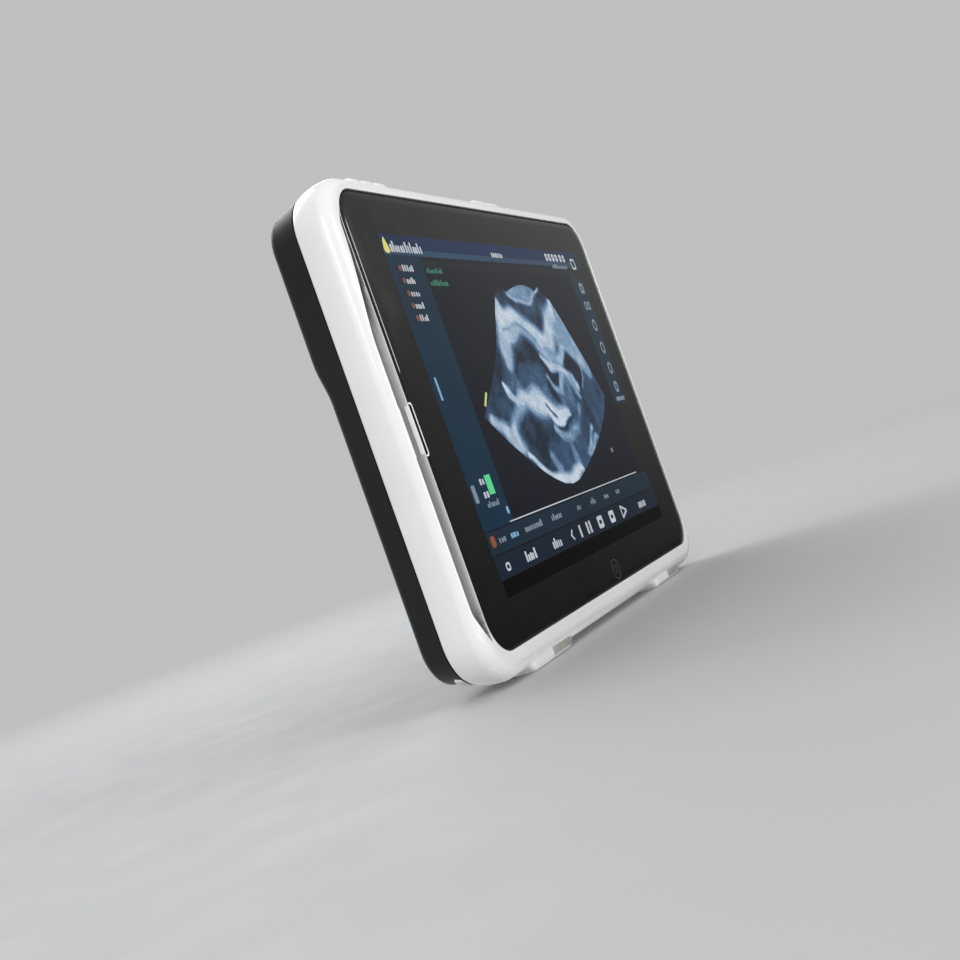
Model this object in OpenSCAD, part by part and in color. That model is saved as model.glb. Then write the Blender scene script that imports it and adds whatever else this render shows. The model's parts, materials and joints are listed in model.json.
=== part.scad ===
// Tablet ultrasound scanner, standing upright on its bottom pads.
// X is the width, +Z is up and the screen faces -Y.
// Depths ("d") are counted rearwards from the front of the screen glass.

/* [Body] */
// Width of the housing
body_w = 317; // [313:1:321]
// Height of the housing without its feet and keys
body_h = 219; // [217:1:221]
// Corner radius of the housing, seen from the front
corner_r = 22.8; // [20:0.2:24]
// Depth from the glass to the back of the upper hump
hump_depth = 34.6; // [34.4:0.1:35.4]
// Depth from the glass to the back of the thinner lower part
low_depth = 32.2; // [32:0.1:32.4]
// Depth of the seam between the front frame and the rear cover
seam_depth = 19; // [18.8:0.1:19.2]

/* [Screen] */
// Width of the cover glass
glass_w = 300; // [298:0.5:301]
// Height of the cover glass
glass_h = 201.5; // [200:0.5:202]
// Thickness of the cover glass
glass_t = 1.1; // [0.8:0.1:1.2]
// Width of the picture area of the LCD
lcd_w = 256; // [252:1:258]
// Height of the picture area of the LCD
lcd_h = 163.3; // [160:0.1:165]
// Outer diameter of the touch key ring
ring_dia = 10.7; // [9:0.1:11]

/* [Keys] */
// Width of each of the three control keys
key_w = 11.7; // [10:0.1:11.8]
// Width of the power key and of the capture key
wide_key_w = 17.5; // [15:0.1:17.7]
// Height of the keys above the housing
key_proud = 1.9; // [1.2:0.1:2.1]

/* [Kickstand] */
// Width of the kickstand
stand_w = 170; // [150:1:172]
// Width of each leg and of the foot bar
stand_leg = 14; // [12:1:15]
// Thickness of the kickstand
stand_t = 3.9; // [3.6:0.1:4]

/* [Mount] */
// Hole spacing of the square rear mount
mount_pitch = 75; // [75:1:76]
// Radius of the M4 holes
mount_r = 2; // [1.9:0.1:2.1]

/* [Battery] */
// Width of the battery pack
battery_w = 150; // [140:1:150]
// Height of the battery pack
battery_h = 52; // [48:1:52]

/* [Hidden] */
$fn = 48;

// Housing
lip_proud = 0.4;
mid = (hump_depth - lip_proud) / 2;
foot_h = 2.6;
xr = body_w / 2;
zb = foot_h;
zt = foot_h + body_h;
front_round = 6.8;
side_draft = 2.5;
gap = 0.3;
cover_depth = seam_depth + gap;
wall_inset = 5.1;
cover_inset = 8;
step_low = 133;
step_high = 151;
hump_inner = 32.3;
low_inner = 29.9;
stand_inner = 25.7;
stand_bay_x = 97;

// Screen
glass_x = glass_w / 2;
glass_z0 = 13.7;
glass_z1 = glass_z0 + glass_h;
glass_r = 16;
lcd_x = 5.9;
lcd_z = 114.8;
window_w = 266;
window_h = 175;
ledge_d0 = 1.7;
ledge_d1 = 3;
key_ring_x = 13.9;
key_ring_z = 20.8;

// Groove along the left of the screen
groove_x = -xr + 4.4;
groove_r = 3.2;
groove_d = 0.6;
light_z = [100, 121.5];

// Bottom pads: each boss is half white, half pad
boss_w = 56;
boss_x = [-121, 66];
boss_d = [1, 13];
boss_top = 6.4;

// Keys
key_d = [3.4, 10];
key_slack = 0.15;
control_x = [-118, -105.9, -93.8];
lamp_x = -80;
wide_x = [17.5, 35.5];
mic_x = 52;
key_foot_z = zt - 6.4;

// Kickstand pivot
pivot_d = 30.15;
pivot_z = 124;
stand_foot_z = 20;
pin_r = 1;
stand_slack = 0.4;

// Square mount
mount_z = 79;

// Screws that hold the rear cover to the frame
case_screw_at = [
    [-133, 14.5], [133, 14.5], [-60, 13.5], [60, 13.5], [-145, 130],
    [145, 130], [-133, 206], [133, 206], [45, 206]
];
chassis_screw_at = [[-100, 22.5], [100, 22.5], [-80, 207], [100, 207]];
board_screw_at = [
    [-134, 28], [-134, 142], [-8, 28], [-8, 142], [10, 28], [10, 142], [112, 28],
    [112, 142]
];

// Battery bay
bay_x = -120;
bay_z = 156;
bay_floor = 14;
bay_wall = 1.2;

// Right-hand side: ports, probe socket, power inlet and air outlet
port_z = [25.5, 59];
probe_z = [60.5, 117.5];
probe_d = [20.8, 29.6];
jack_z = 142.5;
jack_d = 25.5;
door_pin_x = xr - 4.3;
door_pin_d = 22.8;
door_pin_r = 0.6;

// Speakers, one each side
speaker_x = 116;

// Fan
fan_x = 96;
fan_z = 181;
fan_r = 20;

// ---------- helpers ----------

// Pushes a shape drawn in X and Z through the depths d0 to d1
module slab(d0, d1) {
    translate([0, d1 - mid, 0]) rotate([90, 0, 0]) linear_extrude(d1 - d0) children();
}

// A block given by its ranges of X, depth and Z
module block(x, d, z) {
    translate([x[0], d[0] - mid, z[0]]) cube([x[1] - x[0], d[1] - d[0], z[1] - z[0]]);
}

// A rod along the depth, from d0 to d1
module rod(x, z, r, d0, d1) {
    translate([x, d1 - mid, z]) rotate([90, 0, 0]) cylinder(r = r, h = d1 - d0);
}

// A rod along X, from x0 to x1
module rod_x(d, z, r, x0, x1) {
    translate([x0, d - mid, z]) rotate([0, 90, 0]) cylinder(r = r, h = x1 - x0);
}

// A rod along Z, from z0 to z1
module rod_z(x, d, r, z0, z1) {
    translate([x, d - mid, z0]) cylinder(r = r, h = z1 - z0);
}

module round_rect(x0, x1, z0, z1, r) {
    translate([x0 + r, z0]) square([x1 - x0 - 2 * r, z1 - z0]);
    translate([x0, z0 + r]) square([x1 - x0, z1 - z0 - 2 * r]);
    for (x = [x0 + r, x1 - r], z = [z0 + r, z1 - r]) translate([x, z]) circle(r);
}

// The housing's outline, seen from the front, drawn in by an inset
module outline(inset) {
    round_rect(-xr + inset, xr - inset, zb + inset, zt - inset, corner_r - inset);
}

// The housing's outline pushed along a side profile of [inset, depth] points
module moulding(profile) {
    d0 = profile[0][1];
    d1 = profile[len(profile) - 1][1];
    rim = [for (p = profile) [corner_r - p[0], p[1]]];
    side = concat([[0, d0]], rim, [[0, d1]]);
    long = body_h - 2 * corner_r;
    wide = body_w - 2 * corner_r;
    for (s = [0, 1], t = [0, 1])
        mirror([s, 0, 0])
            translate([xr - corner_r, -mid, t == 0 ? zb + corner_r : zt - corner_r])
                rotate([90, t == 0 ? 90 : 0, 0])
                    rotate_extrude(angle = 90)
                        polygon([for (p = side) [p[0], -p[1]]]);
    for (s = [0, 1])
        mirror([s, 0, 0])
            translate([xr - corner_r, -mid, zb + corner_r])
                linear_extrude(long) polygon(side);
    for (t = [1, -1])
        translate([wide / 2, -mid, t == 1 ? zt - corner_r : zb + corner_r])
            rotate([0, -90, 0])
                linear_extrude(wide) polygon([for (p = side) [t * p[0], p[1]]]);
    block([-wide / 2, wide / 2], [d0, d1], [zb + corner_r, zt - corner_r]);
}

function quarter_round(r, n) =
    [for (i = [0:n]) [r * (1 - sin(90 * i / n)), r * (1 - cos(90 * i / n)) - lip_proud]];
frame_profile = concat(quarter_round(front_round, 6), [[side_draft, seam_depth]]);
cover_profile = [[side_draft, cover_depth], [5.2, 30.5], [6.6, 33.4], [9, hump_depth]];

// ---------- outer pieces ----------

module front_frame() {
    color("whitesmoke") {
        difference() {
            union() {
                moulding(frame_profile);
                for (x = boss_x) bottom_boss(x, boss_w);
            }
            slab(-1, ledge_d0)
                round_rect(-glass_x - 0.12, glass_x + 0.12, glass_z0 - 0.12,
                           glass_z1 + 0.12, glass_r + 0.12);
            slab(ledge_d0 - 0.1, ledge_d1 + 0.1)
                round_rect(lcd_x - window_w / 2, lcd_x + window_w / 2,
                           lcd_z - window_h / 2, lcd_z + window_h / 2, 3);
            slab(ledge_d1, 7.05)
                round_rect(-xr + 10.2, xr - wall_inset, zb + wall_inset,
                           zt - wall_inset, 12);
            slab(7, seam_depth + 1) outline(wall_inset);
            side_groove();
            for (x = boss_x)
                block([x + boss_w / 2 - 0.1, x + boss_w + 1], [-1, 12.1], [-1, 5.5]);
            key_ways();
            block([key_ring_x - 10.2, key_ring_x + 10.2], [1.6, 3.2], [15.3, 26.2]);
        }
        for (p = case_screw_at) case_boss(p);
        for (p = chassis_screw_at) screw_post(p, 3.2, 1.3, ledge_d1 - 0.01, 7);
    }
}

// Rounded lug that stands below the front edge of the frame
module bottom_boss(x, w) {
    toe = 2.4;
    ramp = 6;
    intersection() {
        slab(boss_d[0], boss_d[1])
            polygon([[x, boss_top], [x, zb], [x + ramp / 2, toe / 6], [x + ramp, 0],
                     [x + w - ramp, 0], [x + w - ramp / 2, toe / 6], [x + w, zb],
                     [x + w, boss_top]]);
        union() {
            block([x - 1, x + w + 1], [boss_d[0] + toe, boss_d[1] + 1], [-1, boss_top]);
            block([x - 1, x + w + 1], boss_d, [toe, boss_top]);
            rod_x(boss_d[0] + toe, toe, toe, x - 1, x + w + 1);
        }
    }
}

module side_groove() {
    rod_z(groove_x, groove_d, groove_r, 34, 190);
    for (z = [34, 190])
        translate([groove_x, groove_d - mid, z]) sphere(groove_r);
}

module key_ways() {
    for (x = control_x) key_way(x, key_w);
    for (x = wide_x) key_way(x, wide_key_w);
    key_way(lamp_x, key_w);
    key_way(mic_x, 12);
}

module key_way(x, w) {
    slack = w / 2 + key_slack;
    block([x - slack, x + slack], [key_d[0] - key_slack, key_d[1] + key_slack],
          [zt - wall_inset - 0.2, zt + 2]);
}

module screw_post(p, r, hole, d0, d1) {
    difference() {
        rod(p[0], p[1], r, d0, d1);
        rod(p[0], p[1], hole, d0 + 0.6, d1 + 1);
    }
}

module case_boss(p) {
    screw_post(p, 4, 1.5, ledge_d1 - 0.01, seam_depth - 1);
}

module rear_cover() {
    color([0.13, 0.13, 0.14])
        difference() {
            union() {
                difference() {
                    moulding(cover_profile);
                    thin_lower_back();
                    slab(cover_depth - 1, stand_inner) outline(cover_inset);
                    for (s = [-1, 1])
                        block(side_span(s), [stand_inner - 1, low_inner],
                              [zb + cover_inset + 4, step_high - 3]);
                    block([-xr + cover_inset + 2, xr - cover_inset - 2],
                          [stand_inner - 1, hump_inner],
                          [step_high + 1, zt - cover_inset - 4]);
                }
                for (p = case_screw_at)
                    rod(p[0], p[1], 4, seam_depth - 0.9, low_depth - 2);
                for (x = [-1, 1], z = [-1, 1])
                    rod(x * mount_pitch / 2, mount_z + z * mount_pitch / 2, 5, 23.4, 27);
                block([33, 54], [30.5, 33], [174, 190]);
                battery_tub();
            }
            for (p = case_screw_at) {
                rod(p[0], p[1], 1.7, 10, 40);
                rod(p[0], p[1], 3.2, 29.4, 40);
            }
            for (x = [-1, 1], z = [-1, 1])
                rod(x * mount_pitch / 2, mount_z + z * mount_pitch / 2, 2.9, 24.2, 40);
            battery_space();
            battery_latch_way();
            stand_bay();
            air_slots();
            side_ports();
            speaker_slots();
            probe_lock_way();
            bumper_band(1, 4.2, 23);
        }
}

function side_span(s) =
    s == 1 ? [stand_bay_x, xr - cover_inset] : [-xr + cover_inset, -stand_bay_x];

// Material taken away where the back is thinner than the hump
module thin_lower_back() {
    reach = hump_depth + 1;
    translate([xr, -mid, 0])
        rotate([0, -90, 0])
            linear_extrude(body_w)
                polygon([[0, low_depth], [step_low, low_depth],
                         [step_high, hump_depth], [step_high, reach], [0, reach]]);
}

module battery_tub() {
    difference() {
        block([bay_x - bay_wall - 0.3, bay_x + battery_w + bay_wall + 0.3],
              [bay_floor - bay_wall, 33],
              [bay_z - bay_wall - 0.3, bay_z + battery_h + bay_wall + 0.3]);
        battery_space();
    }
}

module battery_space() {
    block([bay_x - 0.3, bay_x + battery_w + 0.3], [bay_floor, 40],
          [bay_z - 0.3, bay_z + battery_h + 0.3]);
    block([-12.3, 16.3], [bay_floor - 2, bay_floor + 1], [158.7, 164.3]);
}

module battery_latch_way() {
    block([35.6, 51], [32.5, 40], [176.8, 187.2]);
    block([37.6, 46.8], [27, 34], [179.6, 184.4]);
    block([29, 34], [27.5, 30.5], [179.6, 184.4]);
}

module stand_bay() {
    half = stand_w / 2;
    inner = half - stand_leg;
    slab(27.9, 40)
        difference() {
            round_rect(-half - stand_slack, half + stand_slack,
                       stand_foot_z - stand_slack, pivot_z + 2.4, 1);
            translate([-inner + stand_slack, stand_foot_z + stand_leg + stand_slack])
                square([2 * (inner - stand_slack), 120]);
        }
    block([-17, 17], [27.9, 40], [14.4, 20]);
    for (s = [-1, 1])
        rod_x(pivot_d, pivot_z, pin_r, s * (half - 7) - 12, s * (half - 7) + 12);
}

module air_slots() {
    for (i = [-4:4])
        slab(30, 40) round_rect(fan_x - fan_r + 1, fan_x + fan_r - 1,
                                fan_z + 4.4 * i - 1, fan_z + 4.4 * i + 1, 0.9);
    for (i = [0:10])
        block([xr - 12, xr + 2], [21.5, 29.5], [160 + 4 * i, 162 + 4 * i]);
}

module side_ports() {
    block([xr - 9, xr + 2], [21.4, 29.6], port_z);
    block([xr - 9, xr + 2], [probe_d[0] - 0.1, probe_d[1] + 0.1],
          [probe_z[0] - 0.1, probe_z[1] + 0.1]);
    rod_x(jack_d, jack_z, 3.7, xr - 9, xr + 2);
    rod_z(door_pin_x, door_pin_d, door_pin_r, port_z[0] - 1.2, port_z[1] + 1.2);
}

module speaker_slots() {
    for (s = [-1, 1], i = [-2:2])
        slab(29, 40) round_rect(s * speaker_x + 5 * i - 1, s * speaker_x + 5 * i + 1,
                                30, 42, 0.9);
}

module probe_lock_way() {
    block([127.6, 138.4], [30.9, 40], [79.6, 100.4]);
    block([131.6, 134.4], [29, 34], [84.6, 95.4]);
}

module seam_gasket() {
    color("black")
        slab(seam_depth + 0.02, cover_depth - 0.02)
            difference() {
                outline(side_draft + 0.5);
                outline(side_draft + 2);
            }
}

module glass_panel() {
    color([0.05, 0.05, 0.06])
        slab(0, glass_t)
            round_rect(-glass_x, glass_x, glass_z0, glass_z1, glass_r);
}

module glass_gasket() {
    color("dimgray")
        slab(glass_t, ledge_d0)
            difference() {
                round_rect(-glass_x + 1, glass_x - 1, glass_z0 + 1, glass_z1 - 1,
                           glass_r - 1);
                round_rect(lcd_x - window_w / 2 - 1, lcd_x + window_w / 2 + 1,
                           lcd_z - window_h / 2 - 0.5, lcd_z + window_h / 2 + 0.5, 3);
                translate([key_ring_x - 9.2, glass_z0 + 0.5]) square([18.4, 12.8]);
            }
}

module home_key_ring() {
    color([0.32, 0.29, 0.28])
        difference() {
            rod(key_ring_x, key_ring_z, ring_dia / 2, -0.06, 0);
            rod(key_ring_x, key_ring_z, ring_dia / 2 - 0.7, -1, 1);
        }
}

module home_key_board() {
    color("darkgreen") {
        block([key_ring_x - 9, key_ring_x + 9], [glass_t, 2.1], [15.6, 25.9]);
        block([key_ring_x - 3, key_ring_x + 3], [2.1, 2.9], [18, 23]);
    }
}

module status_light_bar() {
    color([0.95, 0.97, 1])
        intersection() {
            rod_z(groove_x, groove_d, groove_r - 0.05, light_z[0], light_z[1]);
            block([-xr + 1.5, -xr + 8], [0.9, 5], light_z);
        }
}

module dock_pad(x) {
    color([0.66, 0.64, 0.61])
        intersection() {
            bottom_boss(x, boss_w);
            block([x + boss_w / 2, x + boss_w + 1], [0, 12], [-1, 5.4]);
        }
}

module rear_feet() {
    color([0.2, 0.2, 0.2])
        for (s = [-1, 1])
            translate([s * 93, 26 - mid, 0])
                difference() {
                    translate([-14, -3.6, 0]) cube([28, 7.2, 6.05]);
                    translate([-15, -5, 6.05]) rotate([-14, 0, 0]) cube([30, 12, 4]);
                }
}

// Small lugs where the rear cover meets the bottom corners of the frame
module corner_bumpers() {
    color("gainsboro") bumper_band(2.2, 4.2, 23);
}

module bumper_band(outer, inner, d1) {
    for (s = [0, 1])
        mirror([s, 0, 0])
            slab(cover_depth + 0.3, d1)
                intersection() {
                    difference() {
                        outline(outer);
                        outline(inner);
                    }
                    translate([xr - 32, zb]) square([22, 12]);
                }
}

module key_cap(x, w, proud, tint) {
    crown = 1.4;
    top = zt + proud;
    color(tint)
        difference() {
            union() {
                block([x - w / 2, x + w / 2], key_d, [key_foot_z, top]);
                block([x - w / 2, x + w / 2], [key_d[1] - 1, key_d[1] + 1.2],
                      [key_foot_z, key_foot_z + 1.1]);
            }
            for (s = [0, 1])
                translate([x, 0, 0])
                    mirror([s, 0, 0])
                        difference() {
                            block([w / 2 - crown, w / 2 + 1], [0, 20],
                                  [top - crown, top + 1]);
                            translate([w / 2 - crown, 20 - mid, top - crown])
                                rotate([90, 0, 0]) cylinder(r = crown, h = 20);
                        }
            difference() {
                block([x - w, x + w], [0, key_d[0] + crown], [top - crown, top + 1]);
                rod_x(key_d[0] + crown, top - crown, crown, x - w, x + w);
            }
        }
}

module control_key_left() { key_cap(control_x[0], key_w, key_proud, "white"); }
module control_key_middle() { key_cap(control_x[1], key_w, key_proud, "white"); }
module control_key_right() { key_cap(control_x[2], key_w, key_proud, "white"); }
module power_key() { key_cap(wide_x[0], wide_key_w, key_proud, "white"); }
module capture_key() { key_cap(wide_x[1], wide_key_w, key_proud - 0.3, "white"); }
module key_lamp_lens() { key_cap(lamp_x, key_w, 0.4, "gainsboro"); }
module microphone_cap() { key_cap(mic_x, 12, 0.4, "gainsboro"); }

module kickstand() {
    half = stand_w / 2;
    inner = half - stand_leg;
    color([0.16, 0.16, 0.17])
        difference() {
            union() {
                slab(pivot_d - stand_t / 2, pivot_d + stand_t / 2)
                    difference() {
                        round_rect(-half, half, stand_foot_z, pivot_z, 0.5);
                        translate([-inner, stand_foot_z + stand_leg])
                            square([2 * inner, 120]);
                    }
                for (s = [-1, 1])
                    rod_x(pivot_d, pivot_z, stand_t / 2,
                          s * (half - stand_leg / 2) - stand_leg / 2,
                          s * (half - stand_leg / 2) + stand_leg / 2);
            }
            rod_x(pivot_d, pivot_z, pin_r + 0.05, -half - 1, half + 1);
            block([-60, 60], [pivot_d + 1, 40], [23, 31]);
        }
}

module stand_grip() {
    color("dimgray")
        difference() {
            block([-59.8, 59.8], [pivot_d + 1, pivot_d + stand_t / 2 - 0.1], [23.2, 30.8]);
            for (i = [-11:11])
                block([5 * i - 0.6, 5 * i + 0.6], [pivot_d + 1.5, 40], [22, 32]);
        }
}

module stand_pins() {
    color("silver")
        for (s = [-1, 1])
            rod_x(pivot_d, pivot_z, pin_r, s * (stand_w / 2 - 7) - 11.5,
                  s * (stand_w / 2 - 7) + 11.5);
}

module stand_washers() {
    half = stand_w / 2;
    color("silver")
        for (x = [-half, -half + stand_leg + 0.35, half - stand_leg, half + 0.35])
            difference() {
                rod_x(pivot_d, pivot_z, 1.9, x - 0.33, x - 0.03);
                rod_x(pivot_d, pivot_z, pin_r, x - 1, x + 1);
            }
}

module mount_inserts() {
    color("goldenrod")
        for (x = [-1, 1], z = [-1, 1])
            difference() {
                rod(x * mount_pitch / 2, mount_z + z * mount_pitch / 2, 2.9, 24.2,
                    low_depth - 0.2);
                rod(x * mount_pitch / 2, mount_z + z * mount_pitch / 2, mount_r, 24.8, 40);
            }
}

module case_screws() {
    color([0.2, 0.2, 0.22])
        for (p = case_screw_at)
            difference() {
                union() {
                    rod(p[0], p[1], 1.5, 9, 29.5);
                    rod(p[0], p[1], 2.9, 29.4, 31.2);
                }
                for (a = [0, 60, 120])
                    translate([p[0], 31.4 - mid, p[1]])
                        rotate([90, a, 0]) translate([-1.5, -0.35, 0]) cube([3, 0.7, 1.2]);
            }
}

// ---------- battery ----------

module battery_pack() {
    x1 = bay_x + battery_w;
    z1 = bay_z + battery_h;
    color([0.15, 0.15, 0.16])
        difference() {
            block([bay_x, x1], [bay_floor + 0.3, hump_depth - 0.2], [bay_z, z1]);
            block([26, 31], [27.2, 30.8], [179.2, 184.8]);
            block([-12.6, 16.6], [bay_floor, bay_floor + 4], [158.4, 164.6]);
            for (i = [0:4])
                block([bay_x + 8 + 4 * i, bay_x + 10 + 4 * i],
                      [hump_depth - 0.8, 40], [bay_z + 10, z1 - 10]);
        }
}

module battery_latch() {
    color([0.75, 0.3, 0.1])
        union() {
            difference() {
                block([36, 46], [32.6, 34.5], [177.4, 186.6]);
                for (i = [0:2])
                    block([38.2 + 2.4 * i, 39.2 + 2.4 * i], [33.9, 40], [178.4, 185.6]);
            }
            block([38, 42], [27.8, 33], [180, 184]);
            block([27.6, 41], [27.8, 30.2], [180, 184]);
        }
}

module battery_connector() {
    color("black")
        difference() {
            block([-12, 16], [bay_floor - 3.4, bay_floor + 3], [159, 164]);
            for (i = [0:7])
                block([-9.6 + 3 * i, -8.8 + 3 * i], [bay_floor + 1, 40], [158, 165]);
        }
}

// ---------- right-hand side ----------

module port_door() {
    x0 = xr - 5.9;
    slope = (5.2 - side_draft) / (30.5 - cover_depth);
    face = [for (d = [22.8, 29.4])
            [xr - side_draft - slope * (d - cover_depth) - 0.1, d]];
    color([0.1, 0.1, 0.1])
        difference() {
            union() {
                translate([0, -mid, port_z[0] + 0.3])
                    linear_extrude(port_z[1] - port_z[0] - 0.6)
                        polygon([[x0, 22.8], [face[0][0] - 0.35, 22.8],
                                 [face[0][0] - 0.1, 24.2], face[1], [x0, 29.4]]);
                rod_z(door_pin_x, door_pin_d, 1.1, port_z[0] + 0.3, port_z[1] - 0.3);
            }
            rod_z(door_pin_x, door_pin_d, door_pin_r + 0.05, 0, 100);
            block([x0 + 1.2, xr], [28.3, 30], [38, 46]);
        }
}

module port_door_pin() {
    color("silver")
        rod_z(door_pin_x, door_pin_d, door_pin_r, port_z[0] - 1, port_z[1] + 1);
}

module port_bezel() {
    color([0.2, 0.2, 0.2])
        difference() {
            block([xr - 22.5, xr - 8.1], [20.4, 29.7], [port_z[0] - 1.2, port_z[1] + 1.2]);
            block([xr - 12, xr], [21.6, 29], [port_z[0] + 0.3, port_z[1] - 0.3]);
            block([xr - 30, xr], [22.5, 28.5], [27.4, 40.8]);
            block([xr - 30, xr], [22.5, 28.5], [42.7, 58.2]);
        }
}

module socket(z, tongue) {
    difference() {
        block([xr - 24, xr - 12], [22.6, 28.4], z);
        block([xr - 22, xr], [23, 28], [z[0] + 0.4, z[1] - 0.4]);
    }
    block([xr - 23, xr - 13.5], tongue, [z[0] + 1.6, z[1] - 1.6]);
}

module usb_socket() { color("silver") socket([27.5, 40.7], [23.9, 25.7]); }
module hdmi_socket() { color("silver") socket([42.8, 58.1], [24.9, 26.1]); }

module dc_jack() {
    color([0.12, 0.12, 0.12])
        difference() {
            union() {
                rod_x(jack_d, jack_z, 4.4, xr - 20, xr - 8.1);
                rod_x(jack_d, jack_z, 3.6, xr - 9, xr - 4.6);
            }
            difference() {
                rod_x(jack_d, jack_z, 2.75, xr - 14, xr);
                rod_x(jack_d, jack_z, 1, xr - 15, xr - 5.5);
            }
        }
}

module probe_socket_shell() {
    color("silver")
        difference() {
            block([xr - 26, xr - 5.3], probe_d, probe_z);
            block([xr - 27, xr], [probe_d[0] + 0.8, probe_d[1] - 0.8],
                  [probe_z[0] + 0.8, probe_z[1] - 0.8]);
        }
}

module probe_socket_insert() {
    z0 = probe_z[0] + 0.9;
    z1 = probe_z[1] - 0.9;
    color([0.1, 0.1, 0.1])
        difference() {
            union() {
                block([xr - 34, xr - 15], [probe_d[0] + 0.9, probe_d[1] - 0.9], [z0, z1]);
                block([xr - 16, xr - 11], [24.4, 26], [z0 + 5, z1 - 5]);
            }
            for (i = [0:14])
                block([xr - 15.5, xr], [24, 24.6],
                      [z0 + 7 + 3 * i, z0 + 7.8 + 3 * i]);
        }
}

module probe_lock_slider() {
    color([0.75, 0.3, 0.1]) {
        difference() {
            block([128, 138], [31, low_depth - 0.1], [80, 94]);
            for (i = [0:2])
                block([129, 137], [31.7, 40], [84 + 3 * i, 85 + 3 * i]);
        }
        block([132, 134], [29.7, 31.1], [85, 89]);
    }
}

// ---------- cooling ----------

module fan_housing() {
    color([0.1, 0.1, 0.1])
        difference() {
            block([70, 122.6], [17.5, 31], [fan_z - 26, fan_z + 26]);
            rod(fan_x, fan_z, fan_r + 2, 19, 40);
            block([fan_x, 130], [19, 29.8], [fan_z - 1, fan_z + 22]);
        }
}

module fan_impeller() {
    color([0.25, 0.25, 0.27])
        union() {
            difference() {
                rod(fan_x, fan_z, 8, 19.8, 29.4);
                rod(fan_x, fan_z, 5.5, 28.6, 30);
            }
            rod(fan_x, fan_z, fan_r, 19.8, 20.8);
            for (i = [0:20])
                translate([fan_x, 20 - mid, fan_z])
                    rotate([0, 360 * i / 21, 0])
                        translate([11, 0, 0]) rotate([0, 24, 0])
                            translate([0, 0, -0.4]) cube([8.4, 8.6, 0.8]);
        }
}

module heatsink() {
    color("silver") {
        block([124, 140], [18, 19], [158, 201]);
        for (i = [0:13])
            block([124, 140], [18.9, 30], [158.6 + 3.2 * i, 159.4 + 3.2 * i]);
    }
}

module heat_pipe() {
    color("peru")
        slab(18.55, 20.6)
            union() {
                translate([20, 92]) square([86, 6]);
                translate([100, 92]) square([6, 58]);
                translate([100, 145]) square([34, 6]);
                translate([128, 145]) square([6, 12.9]);
            }
}

module heat_spreader() {
    color("silver")
        difference() {
            block([-125, 112], [17.05, 18.5], [34, 104]);
            for (x = [-100, 88]) rod(x, 69, 6, 16, 20);
        }
}

// ---------- electronics ----------

module circuit_board(x0, x1, chips) {
    difference() {
        union() {
            block([x0, x1], [12, 13.6], [24, 146]);
            for (c = chips)
                block([c[0], c[0] + c[2]], [13.6, 13.6 + c[4]], [c[1], c[1] + c[3]]);
        }
        for (p = board_screw_at) rod(p[0], p[1], 1.6, 0, 30);
    }
}

module main_board() {
    color("darkgreen")
        circuit_board(-138, -2, [[-134, 40, 8, 20, 2.6], [-40, 40, 30, 12, 2],
                                 [-40, 60, 22, 22, 1.4], [-36, 110, 28, 6, 4.2]]);
}

module beamformer_board() {
    color("darkgreen")
        circuit_board(4, 116, [[8, 110, 40, 6, 4.2], [96, 40, 14, 14, 1.2],
                               [96, 60, 14, 14, 1.2], [96, 80, 14, 10, 1.2]]);
}

module board_shields() {
    color("silver")
        for (x = [[-122, -50], [14, 88]])
            difference() {
                block(x, [13.7, 17], [38, 100]);
                block([x[0] + 0.5, x[1] - 0.5], [13, 16.5], [38.5, 99.5]);
            }
}

module board_screws() {
    color("silver")
        for (p = board_screw_at) {
            rod(p[0], p[1], 1.5, 9, 13.8);
            rod(p[0], p[1], 2.6, 13.65, 15);
        }
}

module storage_module() {
    color("darkgreen") {
        block([-128, -48], [14.2, 15], [114, 136]);
        block([-122, -104], [15, 16.2], [117, 133]);
        block([-98, -76], [15, 16.2], [117, 133]);
    }
}

module radio_module() {
    color("darkgreen") {
        block([58, 90], [13.7, 14.5], [114, 138]);
        block([61, 84], [14.5, 16], [117, 135]);
    }
}

module antennas() {
    color("peru")
        for (s = [-1, 1])
            block(s == 1 ? [151.2, 152] : [-152, -151.2], [9, 17], [140, 188]);
}

module speaker(s) {
    color([0.15, 0.15, 0.15])
        difference() {
            block([s * speaker_x - 16, s * speaker_x + 16], [20, 29.6], [24, 48]);
            rod(s * speaker_x, 36, 9.5, 27, 30);
        }
    color([0.3, 0.3, 0.3])
        translate([s * speaker_x, 26.9 - mid, 36])
            rotate([-90, 0, 0]) cylinder(r1 = 7, r2 = 3, h = 1.8);
}

module speaker_left() { speaker(-1); }
module speaker_right() { speaker(1); }

module key_switch_board() {
    color("darkgreen") block([-128, 60], [3.4, 14], [210.6, 211.8]);
    color("silver")
        for (x = concat(control_x, wide_x)) {
            block([x - 3, x + 3], [4, 10], [211.8, 213.4]);
            rod_z(x, 7, 1.6, 213.4, 214.2);
        }
}

module lcd_panel() {
    color([0.1, 0.16, 0.22])
        block([lcd_x - lcd_w / 2 - 3, lcd_x + lcd_w / 2 + 3], [glass_t + 0.1, 5.6],
              [lcd_z - lcd_h / 2 - 4, lcd_z + lcd_h / 2 + 4]);
}

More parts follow.
